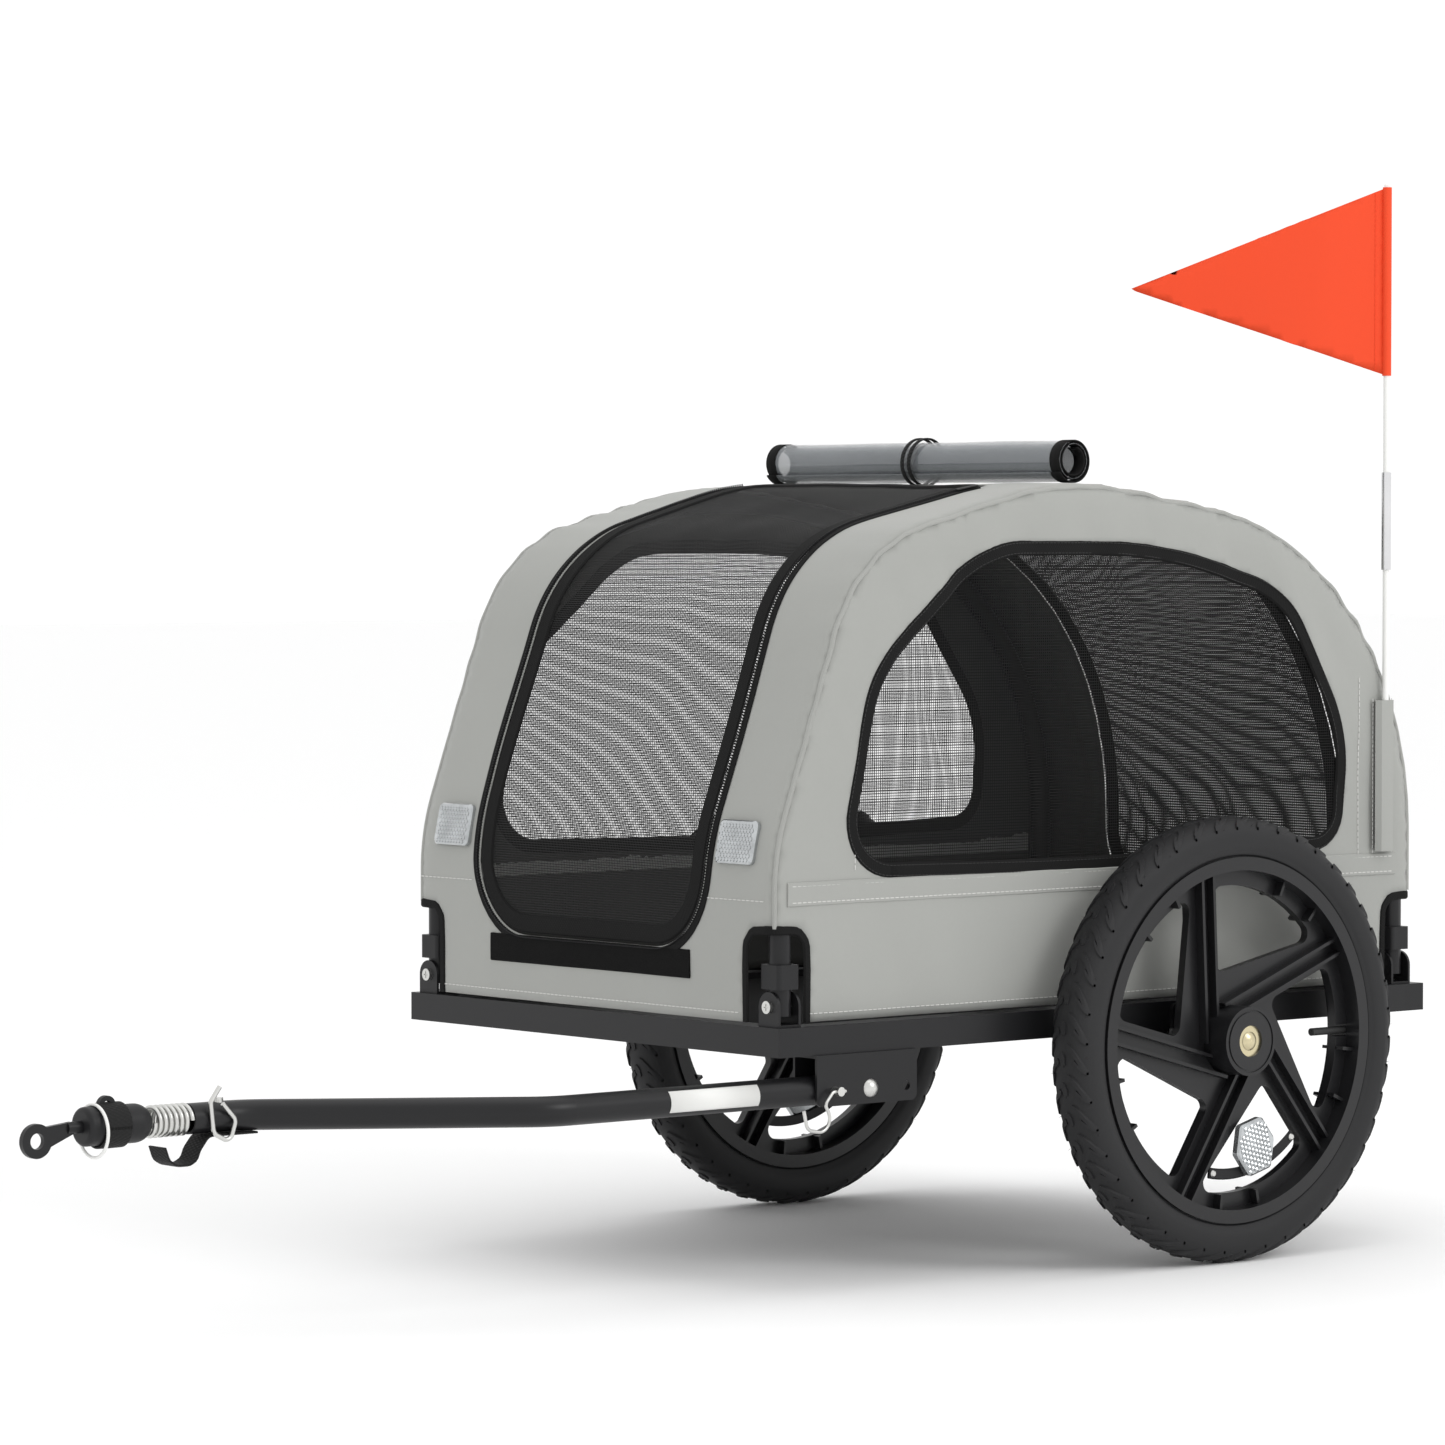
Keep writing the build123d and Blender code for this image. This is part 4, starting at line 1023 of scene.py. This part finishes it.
    def build(self) -> None:
        """Builds the cover, its windows, doors, bindings, seams and trim."""
        self.build_sheet()
        for name, side in SIDES:
            self.build_side(name, side)
        for name, front in (("front", True), ("rear", False)):
            self.build_door(name, front)
        self.build_trim()

    def build_sheet(self) -> None:
        """Builds the sheet over front, roof and rear."""
        cut = Cloth(self.sheet_cut(), [self.opening(True), self.opening(False)], self.over)
        mesh, area = cut.mesh("cover_sheet")
        made = wall(piece("cover_sheet", mesh, FABRIC, "frame", ["cabin_cover"], 60), self.sheet, SHADE_LINING)
        soften(made)

    def build_side(self, name: str, side: float) -> None:
        """Builds a side panel with its window, bindings, seam and stitches.

        Args:
            name: left or right.
            side: 1 on the left, -1 on the right.
        """
        place = self.beside(side)
        loop = even(rounded(self.window, self.window_radii, True), 0.008, True)
        cut = Cloth(self.side_cut(), [loop], place, flip=side < 0)
        mesh, area = cut.mesh(f"side_{name}")
        made = wall(piece(f"side_cloth_{name}", mesh, FABRIC, "frame", [f"side_panel_{name}"], 60),
                    self.sheet, SHADE_LINING)
        soften(made)
        mesh, area = Cloth(loop, [], place, flip=side < 0).mesh(f"screen_{name}", -0.0008)
        made = piece(f"window_screen_{name}", mesh, SCREEN, "frame", [f"side_window_{name}"])
        soften(made)
        line, ups = on_surface(loop, place)
        soften(piece(f"window_binding_{name}",
                     tape_mesh("binding", line, ups, 0.0135, 0.002, 0.0013, True), BINDING,
                     "frame"))
        sewing = [on_surface(self.shifted(loop, way), place, 0.0014)[0] for way in (0.0045, -0.0045)]
        sewing = [line + line[:1] for line in sewing]
        soften(piece(f"window_thread_{name}", stitch_mesh("thread", sewing, DARK_THREAD), DARK_THREAD,
                     "frame"))
        rows = [[(y, z) for y in np.arange(-0.372, 0.366, 0.01)] for z in (0.3385, 0.3525)]
        rows.append([(-0.300, z) for z in np.arange(0.366, 0.446, 0.01)])
        rows.append([(y, 0.243) for y in np.arange(-0.352, 0.345, 0.01)])
        rows.append([(0.318, z) for z in np.arange(0.357, 0.520, 0.01)])
        sewing = [on_surface(np.array(row), place,
                             0.0014 if row in rows[:2] else 0.0004)[0] for row in rows]
        line, ups = on_surface(np.array([(y, 0.3455) for y in np.arange(-0.379, 0.373, 0.008)]), place)
        soften(piece(f"tuck_{name}", tape_mesh("tuck", line, ups, 0.021, 0.001, 0.0016), FABRIC, "frame"))
        soften(piece(f"side_thread_{name}", stitch_mesh("thread", sewing, THREAD, **LONG_STITCH), THREAD,
                     "frame"))
        seam = [self.over(side * (self.half - self.seam_in), s,
                          -0.0008) for s in np.arange(0.081, self.run[-1] - 0.080, 0.006)]
        soften(piece(f"seam_{name}", pipe("seam", seam, 0.0021), FABRIC, "frame"))
        for end, y, way in (("front", FRONT_Y, 1), ("rear", REAR_Y, -1)):
            arc = [(y + way * (self.half + 0.0015 - u), self.hem + v) for u, v in self.notch]
            arc = even(rounded(arc, [0] + [0.012] * (len(arc) - 2) + [0]), 0.005)
            line, ups = on_surface(arc, place)
            s0, sign = (0.0, 1) if end == "front" else (float(self.run[-1]), -1)
            across = [(side * min(u, self.half), s0 + sign * v) for u, v in self.notch]
            more, more_ups = on_surface(even(np.array(across), 0.005)[::-1], self.over)
            mesh = tape_mesh("arch", line[:-1] + more[1:], ups[:-1] + more_ups[1:], 0.008, 0.0018, 0.0012)
            soften(piece(f"corner_binding_{end}_{name}", mesh, BINDING, "frame"))

    @staticmethod
    def shifted(loop: np.ndarray, by: float) -> np.ndarray:
        """Moves a flat loop sideways by a distance."""
        way = np.roll(loop, -1, axis=0) - np.roll(loop, 1, axis=0)
        way /= np.linalg.norm(way, axis=1)[:, None]
        return loop + by * np.stack([way[:, 1], -way[:, 0]], axis=1)

    def build_door(self, name: str, front: bool) -> None:
        """Builds a mesh door with its wide binding, and the zip round it.

        Args:
            name: front or rear.
            front: whether it is the front one.
        """
        body = f"{name}_flap"
        loop = even(self.opening(front, 0.0015), 0.008, True)
        mesh, area = Cloth(loop, [], self.over).mesh(f"{name}_door", -0.0006)
        made = piece(f"{name}_door_screen", mesh, FINE_SCREEN if front else DENSE_SCREEN, body,
                     [f"{name}_door"])
        soften(made)
        inner = even(self.opening(front, 0.0105), 0.006, True)
        line, ups = on_surface(inner, self.over)
        soften(piece(f"{name}_door_binding", tape_mesh("binding", line, ups, 0.0165, 0.0018, 0.0012, True),
                     BINDING, body))
        line, ups = on_surface(self.zip_line(front, -0.0055), self.over)
        soften(piece(f"{name}_zip_tape", tape_mesh("tape", line, ups, 0.0075, 0.0003, 0.0012), BINDING,
                     "frame"))
        rows = [self.over(u, v, 0.0016) for u, v in self.zip_line(front, -0.0018)]
        mesh = stitch_mesh("zip", [rows], PLASTIC, 0.0026, 0.0034, 0.0007, (math.pi / 2, 0, 0))
        soften(piece(f"{name}_zip_teeth", mesh, PLASTIC, "frame"))

    def build_trim(self) -> None:
        """Builds hook strips, hem stitches, reflectors and the flag's pocket."""
        total = float(self.run[-1])
        for name, flip in (("front", 1), ("rear", -1)):
            s = 0.0455 if flip > 0 else total - 0.0455
            line, ups = on_surface(np.array([(x, s) for x in np.arange(-0.141, 0.1415, 0.006)]), self.over)
            strip = tape_mesh("strip", line, ups, 0.025, 0.0002, 0.0016)
            replaced = ["hook_strips"] if flip > 0 else []
            soften(piece(f"{name}_hook_strip", strip, PILE, "frame", replaced))
            for row, (level, reach) in enumerate(((0.104, 0.243), (0.0075, 0.208))):
                near = level if flip > 0 else total - level
                spans = [(-reach, reach)] if row else [(-reach, -0.166), (0.166, reach)]
                lines = [[self.over(x, near, 0.0003) for x in np.arange(a, b, 0.01)] for a, b in spans]
                mesh = stitch_mesh("thread", lines, THREAD, **LONG_STITCH)
                soften(piece(f"{name}_thread_{row}", mesh, THREAD, "frame"))
        self.build_reflectors()
        y, low, high = 0.346, 0.358, 0.504
        line = [Vector((0.2545, y + SHIFT, z)) for z in np.arange(low, high + 0.001, 0.01)]
        ups = [Vector((1, 0, 0))] * len(line)
        pocket = tape_mesh("pocket", line, ups, 0.024, 0.003, 0.0055)
        soften(piece("pole_pocket", pocket, FABRIC, "frame", ["flag_pocket"]))
        sewing = [[Vector((0.2530, y + way + SHIFT, z)) for z in np.arange(low, high,
                                                                           0.01)] for way in (-0.0125, 0.0125)]
        soften(piece("pocket_thread", stitch_mesh("thread", sewing, THREAD), THREAD, "frame"))

    def build_reflectors(self) -> None:
        """Builds the two clear reflectors with their prisms."""
        wide, tall, deep = 0.050, 0.038, 0.0045
        for name, x in (("left", 0.2), ("right", -0.2)):
            centre = self.over(x, REFLECTOR_S, 0.0)
            way = (self.over(x, REFLECTOR_S, 0.01) - centre).normalized()
            up = Vector((1, 0, 0)).cross(way) * -1
            up = up if up.z > 0 else -up
            side = Vector((1, 0, 0))
            rim = rounded([(-wide / 2, -tall / 2), (wide / 2, -tall / 2), (wide / 2, tall / 2),
                           (-wide / 2, tall / 2)],
                          [0.005] * 4, True)
            points = []
            for rise, shrink in ((0.0, 1.0), (deep * 0.7, 1.0), (deep, 0.94)):
                points += [centre + side * u * shrink + up * v * shrink + way * rise for u, v in rim]
            faces = stack_faces(3, len(rim))
            replaced = ["front_reflectors"] if x > 0 else []
            soften(piece(f"reflector_{name}", to_mesh("lens", points, faces), LENS, "frame", replaced, 30))
            pitch = 0.0042
            spots = [centre + side * (u + (j % 2) * pitch / 2) + up * v + way * (deep + 0.0003)
                     for j, v in enumerate(np.arange(-0.0155, 0.0160, pitch * 0.87))
                     for u in np.arange(-0.0205, 0.0200, pitch)]
            tilt = tuple(Vector((0, 0, 1)).rotation_difference(way).to_euler())
            prisms = prism_mesh(spots, 0.0023, 0.0011, tilt)
            soften(piece(f"reflector_prisms_{name}", prisms, LENS, "frame", sharp=10))


# ------------------------------------------------------------------ rain cover, flag
@dataclass
class RainCover:
    """The clear rain cover, rolled up on the roof in an elastic strap."""

    centre: tuple = (0.0, SHIFT, 0.7182)
    half: float = 0.2025
    inner: float = 0.0125
    outer: float = 0.0202
    turns: float = 2.6

    def spiral(self, name: str, start: float, end: float, grow: float) -> bpy.types.Mesh:
        """Rolls a stretch of the cover.

        Args:
            name: the mesh's name.
            start: one end along X.
            end: the other end.
            grow: added to the radius.

        Returns:
            The mesh.
        """
        around, along = 150, max(2, round((end - start) / 0.012))
        points, uv = [], []
        for j in range(along + 1):
            x = start + (end - start) * j / along
            for i in range(around + 1):
                t = i / around
                turn = -t * self.turns * math.tau + 1.2
                r = self.inner + (self.outer - self.inner) * t + grow
                r *= 1 + 0.03 * noise.noise(Vector((x * 14, t * 5, 1)))
                points.append(Vector(self.centre) + Vector((x, r * math.cos(turn), r * math.sin(turn))))
                uv.append((x, r * turn))
        row = around + 1
        faces = [(j * row + i, (j + 1) * row + i, (j + 1) * row + i + 1, j * row + i + 1)
                 for j in range(along) for i in range(around)]
        return to_mesh(name, points, faces, uv)

    def build(self) -> None:
        """Builds the roll, its dark edges, its strap and the zip pulls beside it."""
        roll = wall(piece("rain_roll", self.spiral("roll", -self.half, self.half, 0), FILM, "frame",
                          ["rain_cover_roll"], 80), 0.0005)
        soften(roll)
        for name, side in SIDES:
            ends = sorted((side * self.half, side * (self.half - 0.013)))
            edge = piece(f"rain_edge_{name}", self.spiral("edge", ends[0], ends[1], 0.0004), BINDING,
                         "frame")
            soften(wall(edge, 0.0013))
        loops = []
        for x in (-0.0045, 0.0045):
            line, ups = [], []
            for i in range(60):
                turn = math.tau * i / 60
                way = Vector((0, math.cos(turn), math.sin(turn)))
                line.append(Vector(self.centre) + way * 0.0211 + Vector((x + 0.0012 * math.sin(turn), 0,
                                                                         0)))
                ups.append(way)
            loops.append(piece(f"roll_band_{len(loops)}",
                               tape_mesh("band", line, ups, 0.0052, 0.0002, 0.0013, True),
                               WEBBING, "frame", [] if loops else ["roll_strap"]))
        for band in loops:
            soften(band)
        for index, y in enumerate((-0.095, 0.190)):
            s = CABIN.s_at_y(y)
            line = [CABIN.over(0.163 + 0.0003 * k, s + (k - 4) * 0.0028, 0.0026) for k in range(9)]
            ups = [(CABIN.over(0.163, s, 0.02) - CABIN.over(0.163, s, 0)).normalized()] * 9
            tab = piece(f"zip_pull_{index}", tape_mesh("pull", line, ups, 0.006, 0.0007, 0.0009), PLASTIC,
                        "frame",
                        [] if index else ["zip_pulls"])
            soften(tab)


@dataclass
class Pennant:
    """The orange flag, sewn round the top of its pole."""

    foot: tuple = (0.257, 0.346 + SHIFT, 0.7985)
    height: float = 0.174
    length: float = 0.238
    heading: float = 230.0

    def build(self) -> None:
        """Builds the flag's cloth, its sewn sleeve and its stitches."""
        base = Vector(self.foot)
        turn = math.radians(self.heading)
        out, across = Vector((math.cos(turn), math.sin(turn), 0)), Vector((-math.sin(turn), math.cos(turn),
                                                                           0))

        def place(u: float, v: float, lift: float) -> Vector:
            """Places a point of the flag, in a gentle wave."""
            wave = 0.0035 * math.sin(u * 21 + v * 5) * min(u / 0.06, 1)
            return base + out * u + Vector((0, 0, v)) + across * (wave + lift)

        cut = np.array([(0.0, 0.0), (self.length, self.height * 0.46), (0.0, self.height)])
        mesh, area = Cloth(cut, [], place, 0.007).mesh("flag")
        cloth = wall(piece("pennant", mesh, FLAG, "pole_top", ["flag"], 60), 0.0004)
        profile = [(0.0, 0.0033), (0.0, 0.0042), (self.height, 0.0042), (self.height, 0.0033)]
        sleeve = lathe("sleeve", profile, Vector((0, 0, 0)), 24)
        sleeve.transform(Matrix.Translation(base) @ Matrix.Rotation(-math.pi / 2, 4, "Y"))
        piece("pennant_sleeve", sleeve, FLAG, "pole_top")
        hem = [place(0.011, v, 0.0007) for v in np.arange(0.006, self.height - 0.006, 0.005)]
        sewing = stitch_mesh("thread", [hem, [place(0.011, v, -0.0011) for v in np.arange(0.006, 0.168,
                                                                                          0.005)]], FLAG,
                             0.0045, 0.0032)
        piece("pennant_thread", sewing, FLAG, "pole_top")


# ------------------------------------------------------------------ wheels
@dataclass
class Wheel:
    """A tyre with its tread, and the reflector in the wheel."""

    name: str
    side: float
    knobs: int = 46
    crown: float = 0.1988
    shoulder: float = 0.181
    half_width: float = 0.0225

    def centre(self) -> Vector:
        """The wheel's middle."""
        return Vector((self.side * 0.3, 0.095 + SHIFT, TYRE_RADIUS))

    def surface(self, x: float) -> float:
        """The tyre's radius at a place across it."""
        t = min(abs(x) / self.half_width, 0.999)
        return self.shoulder + (self.crown - self.shoulder) * (1 - t**2.3) ** (1 / 2.3)

    def build(self) -> None:
        """Builds the tyre, its tread and rubber hairs, and the reflector."""
        body = f"{self.name}_wheel"
        half = [(0.0164, 0.1580), (0.0166, 0.1648), (0.0186, 0.1662), (0.0199, 0.1690), (0.0201, 0.1700),
                (0.0212, 0.1715),
                (0.0219, 0.1760)]
        crown = [(x, self.surface(x)) for x in np.linspace(0.0224, 0.0, 15)]
        profile = half + crown + [(-x, r) for x, r in reversed(half + crown[:-1])]
        piece(f"tyre_body_{self.name}", lathe("tyre", profile, self.centre(), 160), RUBBER, body,
              [f"tyre_{self.name}"], 30)
        block = self.tread_block()
        tread = REPEATS.run(REPEATS.ring, "tread", block, Count=self.knobs, Centre=tuple(self.centre()),
                            Material=RUBBER.material())
        piece(f"tread_{self.name}", tread, RUBBER, body, sharp=35)
        hair = REPEATS.run(REPEATS.ring, "hairs", self.hairs(), Count=17, Centre=tuple(self.centre()),
                           Material=RUBBER.material())
        piece(f"rubber_hairs_{self.name}", hair, RUBBER, body)
        self.build_reflector(body)

    def bar(self, line: Sequence[tuple], width: float, rise: float) -> tuple:
        """Makes a tread bar that follows the tyre's surface.

        Args:
            line: places across the tyre and angles round it.
            width: the bar's width.
            rise: its height.

        Returns:
            Its points and faces.
        """
        points, faces = [], []
        for i, (x, angle) in enumerate(line):
            narrow = 0.55 if i in (0, len(line) - 1) else 1.0
            for off, up in ((-0.5, -0.001), (-0.4, rise), (0.4, rise), (0.5, -0.001)):
                r = self.surface(x) + up * (1 + 0.9 * abs(x) / self.half_width if up > 0 else 1)
                turn = angle + off * width * narrow / TYRE_RADIUS
                points.append((x, r * math.cos(turn), r * math.sin(turn)))
        for i in range(len(line) - 1):
            a = i * 4
            faces += [(a + j, a + j + 1, a + j + 5, a + j + 4) for j in range(3)]
        faces += [(3, 2, 1, 0), tuple(range(len(points) - 4, len(points)))]
        return points, faces

    def tread_block(self) -> bpy.types.Mesh:
        """One repeat of the tread: a hooked bar on each shoulder and a lozenge in the middle."""
        step = math.tau / self.knobs
        points, faces = [], []
        for way in (1, -1):
            shift = 0 if way > 0 else step / 2
            hook = [(way * (0.0045 + 0.0165 * t),
                     shift + step * (0.85 * t * t - 0.15)) for t in np.linspace(0, 1, 9)]
            rib = [(way * (0.0125 + 0.0085 * t),
                    shift + step * (0.30 + 0.42 * t)) for t in np.linspace(0, 1, 5)]
            for line, width in ((hook, 0.0075), (rib, 0.0045)):
                more, tiles = self.bar(line if way > 0 else line[::-1], width, 0.0013)
                faces += [tuple(len(points) + i for i in tile) for tile in tiles]
                points += more
        lozenge = [(x, step * (0.25 + 0.06 * x / 0.003)) for x in np.linspace(-0.0032, 0.0032, 4)]
        more, tiles = self.bar(lozenge, 0.014, 0.0012)
        faces += [tuple(len(points) + i for i in tile) for tile in tiles]
        return to_mesh("block", points + more, faces)

    def hairs(self) -> bpy.types.Mesh:
        """A few moulding hairs on the tyre's shoulders."""
        points, faces = [], []
        for x, angle, reach in ((0.019, 0.02, 0.0040), (-0.0195, 0.13, 0.0035), (0.0205, 0.21, 0.0028),
                                (-0.018, 0.29, 0.0040)):
            r = self.surface(x)
            base, start = Vector((x, r * math.cos(angle), r * math.sin(angle))), len(points)
            out = Vector((x * 40, math.cos(angle), math.sin(angle))).normalized()
            side = out.orthogonal().normalized()
            for turn in (0, math.tau / 3, 2 * math.tau / 3):
                points.append(base - out * 0.001 + Matrix.Rotation(turn, 3, out) @ side * 0.0004)
            points.append(base + out * reach + side * 0.001)
            faces += [(start, start + 1, start + 3), (start + 1, start + 2, start + 3),
                      (start + 2, start, start + 3),
                      (start + 2, start + 1, start)]
        return to_mesh("hairs", points, faces)

    def build_reflector(self, body: str) -> None:
        """Builds the strip, lens, prisms and screws of the wheel's reflector.

        Args:
            body: the wheel's body.
        """
        centre, side = self.centre(), self.side

        def out(r: float, degrees: float, x: float) -> Vector:
            """A point of the wheel at a radius and an angle."""
            turn = math.radians(degrees)
            return centre + Vector((side * x, r * math.cos(turn), r * math.sin(turn)))

        line = [out(0.121, a, 0.0052) for a in np.linspace(-102, -48, 19)]
        strip = tape_mesh("strip", line, [Vector((side, 0, 0))] * len(line), 0.010, 0.001, 0.001)
        piece(f"reflector_strip_{self.name}", strip, PLASTIC, body, [f"wheel_reflector_{self.name}"])
        mid = math.radians(-75)
        away, along = Vector((0, math.cos(mid), math.sin(mid))), Vector((0, -math.sin(mid), math.cos(mid)))
        hexagon = [(-0.024, -0.014), (0, -0.0245), (0.024, -0.014), (0.024, 0.014), (0, 0.0245),
                   (-0.024, 0.014)]
        rim = rounded(hexagon, [0.005] * 6, True)
        middle = out(0.101, -75, 0.0)
        points = []
        for x, shrink in ((0.0064, 0.92), (0.0075, 1.0), (0.0130, 1.0), (0.0145, 0.93)):
            points += [middle + (away * u + along * v) * shrink + Vector((side * x, 0, 0)) for u, v in rim]
        faces = stack_faces(4, len(rim))
        if side < 0:
            faces = [tuple(reversed(face)) for face in faces]
        piece(f"wheel_lens_{self.name}", to_mesh("lens", points, faces), LENS, body, sharp=30)
        pitch = 0.0046
        spots = [middle + away * (u + (j % 2) * pitch / 2) + along * v + Vector((side * 0.0148, 0, 0))
                 for j, v in enumerate(np.arange(-0.017, 0.018,
                                                 pitch * 0.87)) for u in np.arange(-0.019, 0.0185, pitch)
                 if abs(v) < 0.0215 - abs(u) * 0.45]
        prisms = prism_mesh(spots, 0.0025, 0.0012, (0, side * math.pi / 2, 0))
        piece(f"wheel_prisms_{self.name}", prisms, LENS, body, sharp=10)
        for index, angle in enumerate((-100, -50)):
            head = [(0.0, 0.0), (0.0, 0.0032), (0.0012, 0.0032), (0.0022, 0.0022), (0.0024, 0.0)]
            spot = out(0.121, angle, 0.0061)
            mesh = lathe("screw", [(side * x, max(r, 0.00002)) for x, r in head][:: int(side)], spot, 16)
            piece(f"reflector_screw_{index}_{self.name}", mesh, ZINC, body)


# ------------------------------------------------------------------ drawbar and hitch
@dataclass
class Drawbar:
    """The label on the drawbar, and the webbing at its tip."""

    x: float = 0.103
    z: float = 0.177
    tube: float = 0.0127

    def build(self) -> None:
        """Builds the blank label, the safety strap and the cuff."""
        points, uv, around = [], [], 12
        for y in (-0.514, -0.417):
            for i in range(around + 1):
                turn = math.radians(-38 + 88 * i / around)
                r = self.tube + 0.0003
                points.append((0.2475 + r * math.cos(turn), y + SHIFT, self.z + r * math.sin(turn)))
                uv.append((y, r * turn))
        row = around + 1
        faces = [(i, row + i, row + i + 1, i + 1) for i in range(around)]
        wall(piece("drawbar_label", to_mesh("label", points, faces, uv), PAPER, "drawbar"), 0.0002)
        self.build_strap()
        line, ups = [], []
        for i in range(48):
            turn = math.tau * i / 48
            way = Vector((math.cos(turn), 0, math.sin(turn)))
            line.append(Vector((self.x, -0.972 + SHIFT, self.z)) + way * 0.0165)
            ups.append(way)
        piece("coupler_cuff", tape_mesh("cuff", line, ups, 0.025, 0.0001, 0.0021, True), WEBBING, "coupler")

    def build_strap(self) -> None:
        """Builds the safety strap, whose loop hangs under the spring."""
        under = self.z - self.tube - 0.0013
        route = [(-0.833, 0), (-0.862, 0), (-0.881, 0), (-0.890, -0.011), (-0.893, -0.019),
                 (-0.900, -0.0225),
                 (-0.912, -0.0225), (-0.920, -0.018), (-0.924, -0.007)]
        line = even(rounded([(y + SHIFT, under + z) for y, z in route], [0] + [0.008] * 7 + [0]), 0.003)
        spots = [Vector((self.x, y, z)) for y, z in line]
        ups = []
        for i in range(len(spots)):
            way = spots[min(i + 1, len(spots) - 1)] - spots[max(i - 1, 0)]
            ups.append(Vector((1, 0, 0)).cross(way).normalized())
        mesh = tape_mesh("strap", spots, ups, 0.025, 0.0009, 0.0009)
        made = piece("safety_strap", mesh, WEBBING, "drawbar", ["hitch_strap"])


# ------------------------------------------------------------------ stage
@dataclass
class Studio:
    """The camera, lights and floor."""

    eye: tuple = (4.0140, -3.5970 + SHIFT, 0.6560)
    target: tuple = (-0.1197, -0.1408 + SHIFT, 0.4780)
    lens: float = 145.37

    def build(self) -> None:
        """Sets up the camera, floor, lights and surroundings."""
        camera = bpy.data.cameras.new("camera")
        camera.lens, camera.sensor_width, camera.clip_end = self.lens, 36.0, 100.0
        made = bpy.data.objects.new("camera", camera)
        made.location = self.eye
        made.rotation_euler = (Vector(self.target) - Vector(self.eye)).to_track_quat("-Z", "Y").to_euler()
        bpy.context.collection.objects.link(made)
        bpy.context.scene.camera = made
        size = 30.0
        mesh = to_mesh("floor", [(-size, -size, 0), (size, -size, 0), (size, size, 0), (-size, size, 0)],
                       [(0, 1, 2, 3)])
        finish = Finish("pale_floor", "white_plastic", (0.95, 0.95, 0.95), 0.9, contrast=0.01, bump=0.0)
        mesh.materials.append(finish.material())
        floor = bpy.data.objects.new("floor", mesh)
        bpy.context.collection.objects.link(floor)
        world = bpy.data.worlds.new("studio")
        world.use_nodes = True
        world.node_tree.nodes["Background"].inputs[0].default_value = (1, 1, 1, 1)
        world.node_tree.nodes["Background"].inputs[1].default_value = 1.04
        bpy.context.scene.world = world
        bpy.context.scene.view_settings.view_transform = "Standard"
        self.lamp("key", (4.2, 1.4, 3.0), 2.0, 55)
        self.lamp("top", (0.4, 0.3, 4.2), 3.0, 15)

    @staticmethod
    def lamp(name: str, place: Point, size: float, power: float) -> None:
        """Adds a soft light aimed at the trailer.

        Args:
            name: the light's name.
            place: where it stands.
            size: its width.
            power: its power in watts.
        """
        data = bpy.data.lights.new(name, "AREA")
        data.size, data.energy = size, power
        made = bpy.data.objects.new(name, data)
        made.location = place
        made.rotation_euler = (Vector((0, 0.2, 0.4)) - Vector(place)).to_track_quat("-Z", "Y").to_euler()
        bpy.context.collection.objects.link(made)


CABIN = Cabin()


def dress_frame() -> None:
    """Gives each CAD node that shows its finish."""
    dress(STEEL, "front_rail", "rear_rail", "left_rail", "right_rail", "floor_slats", "axle_plates",
          "drawbar_bracket",
          "corner_brackets", "drawbar_tube", "hitch_eye", "left_arch", "right_arch")
    dress(PLASTIC, "rail_end_caps", "coupler_body",
          *(f"lock_block_{e}_{s}" for e in ("front", "rear") for s, _ in SIDES))
    dress(ZINC, "axle_receivers", "axle_nuts", "axle_spacers", "pivot_bolt", "hinge_screws",
          "hitch_spring", "snap_hook",
          "strap_bolt", "lock_pin", "pin_bail")
    dress(YELLOW, "axles", "bearings_left", "bearings_right")
    dress(WHEEL, "rim_left", "rim_right")
    dress(TUBE, "inner_tube_left", "inner_tube_right")
    dress(BOARD, "floor_panel")
    dress(WHITE, "coupler_ring")
    dress(POLE, "flag_pole_lower", "flag_pole_upper")
    dress(CHROME, "pole_ferrule")


def main() -> None:
    """Builds the trailer and its studio."""
    logging.basicConfig(level=logging.INFO)
    dress_frame()
    CABIN.build()
    RainCover().build()
    Pennant().build()
    for name, side in SIDES:
        Wheel(name, side).build()
    Drawbar().build()
    Studio().build()


if __name__ == "__main__":
    main()
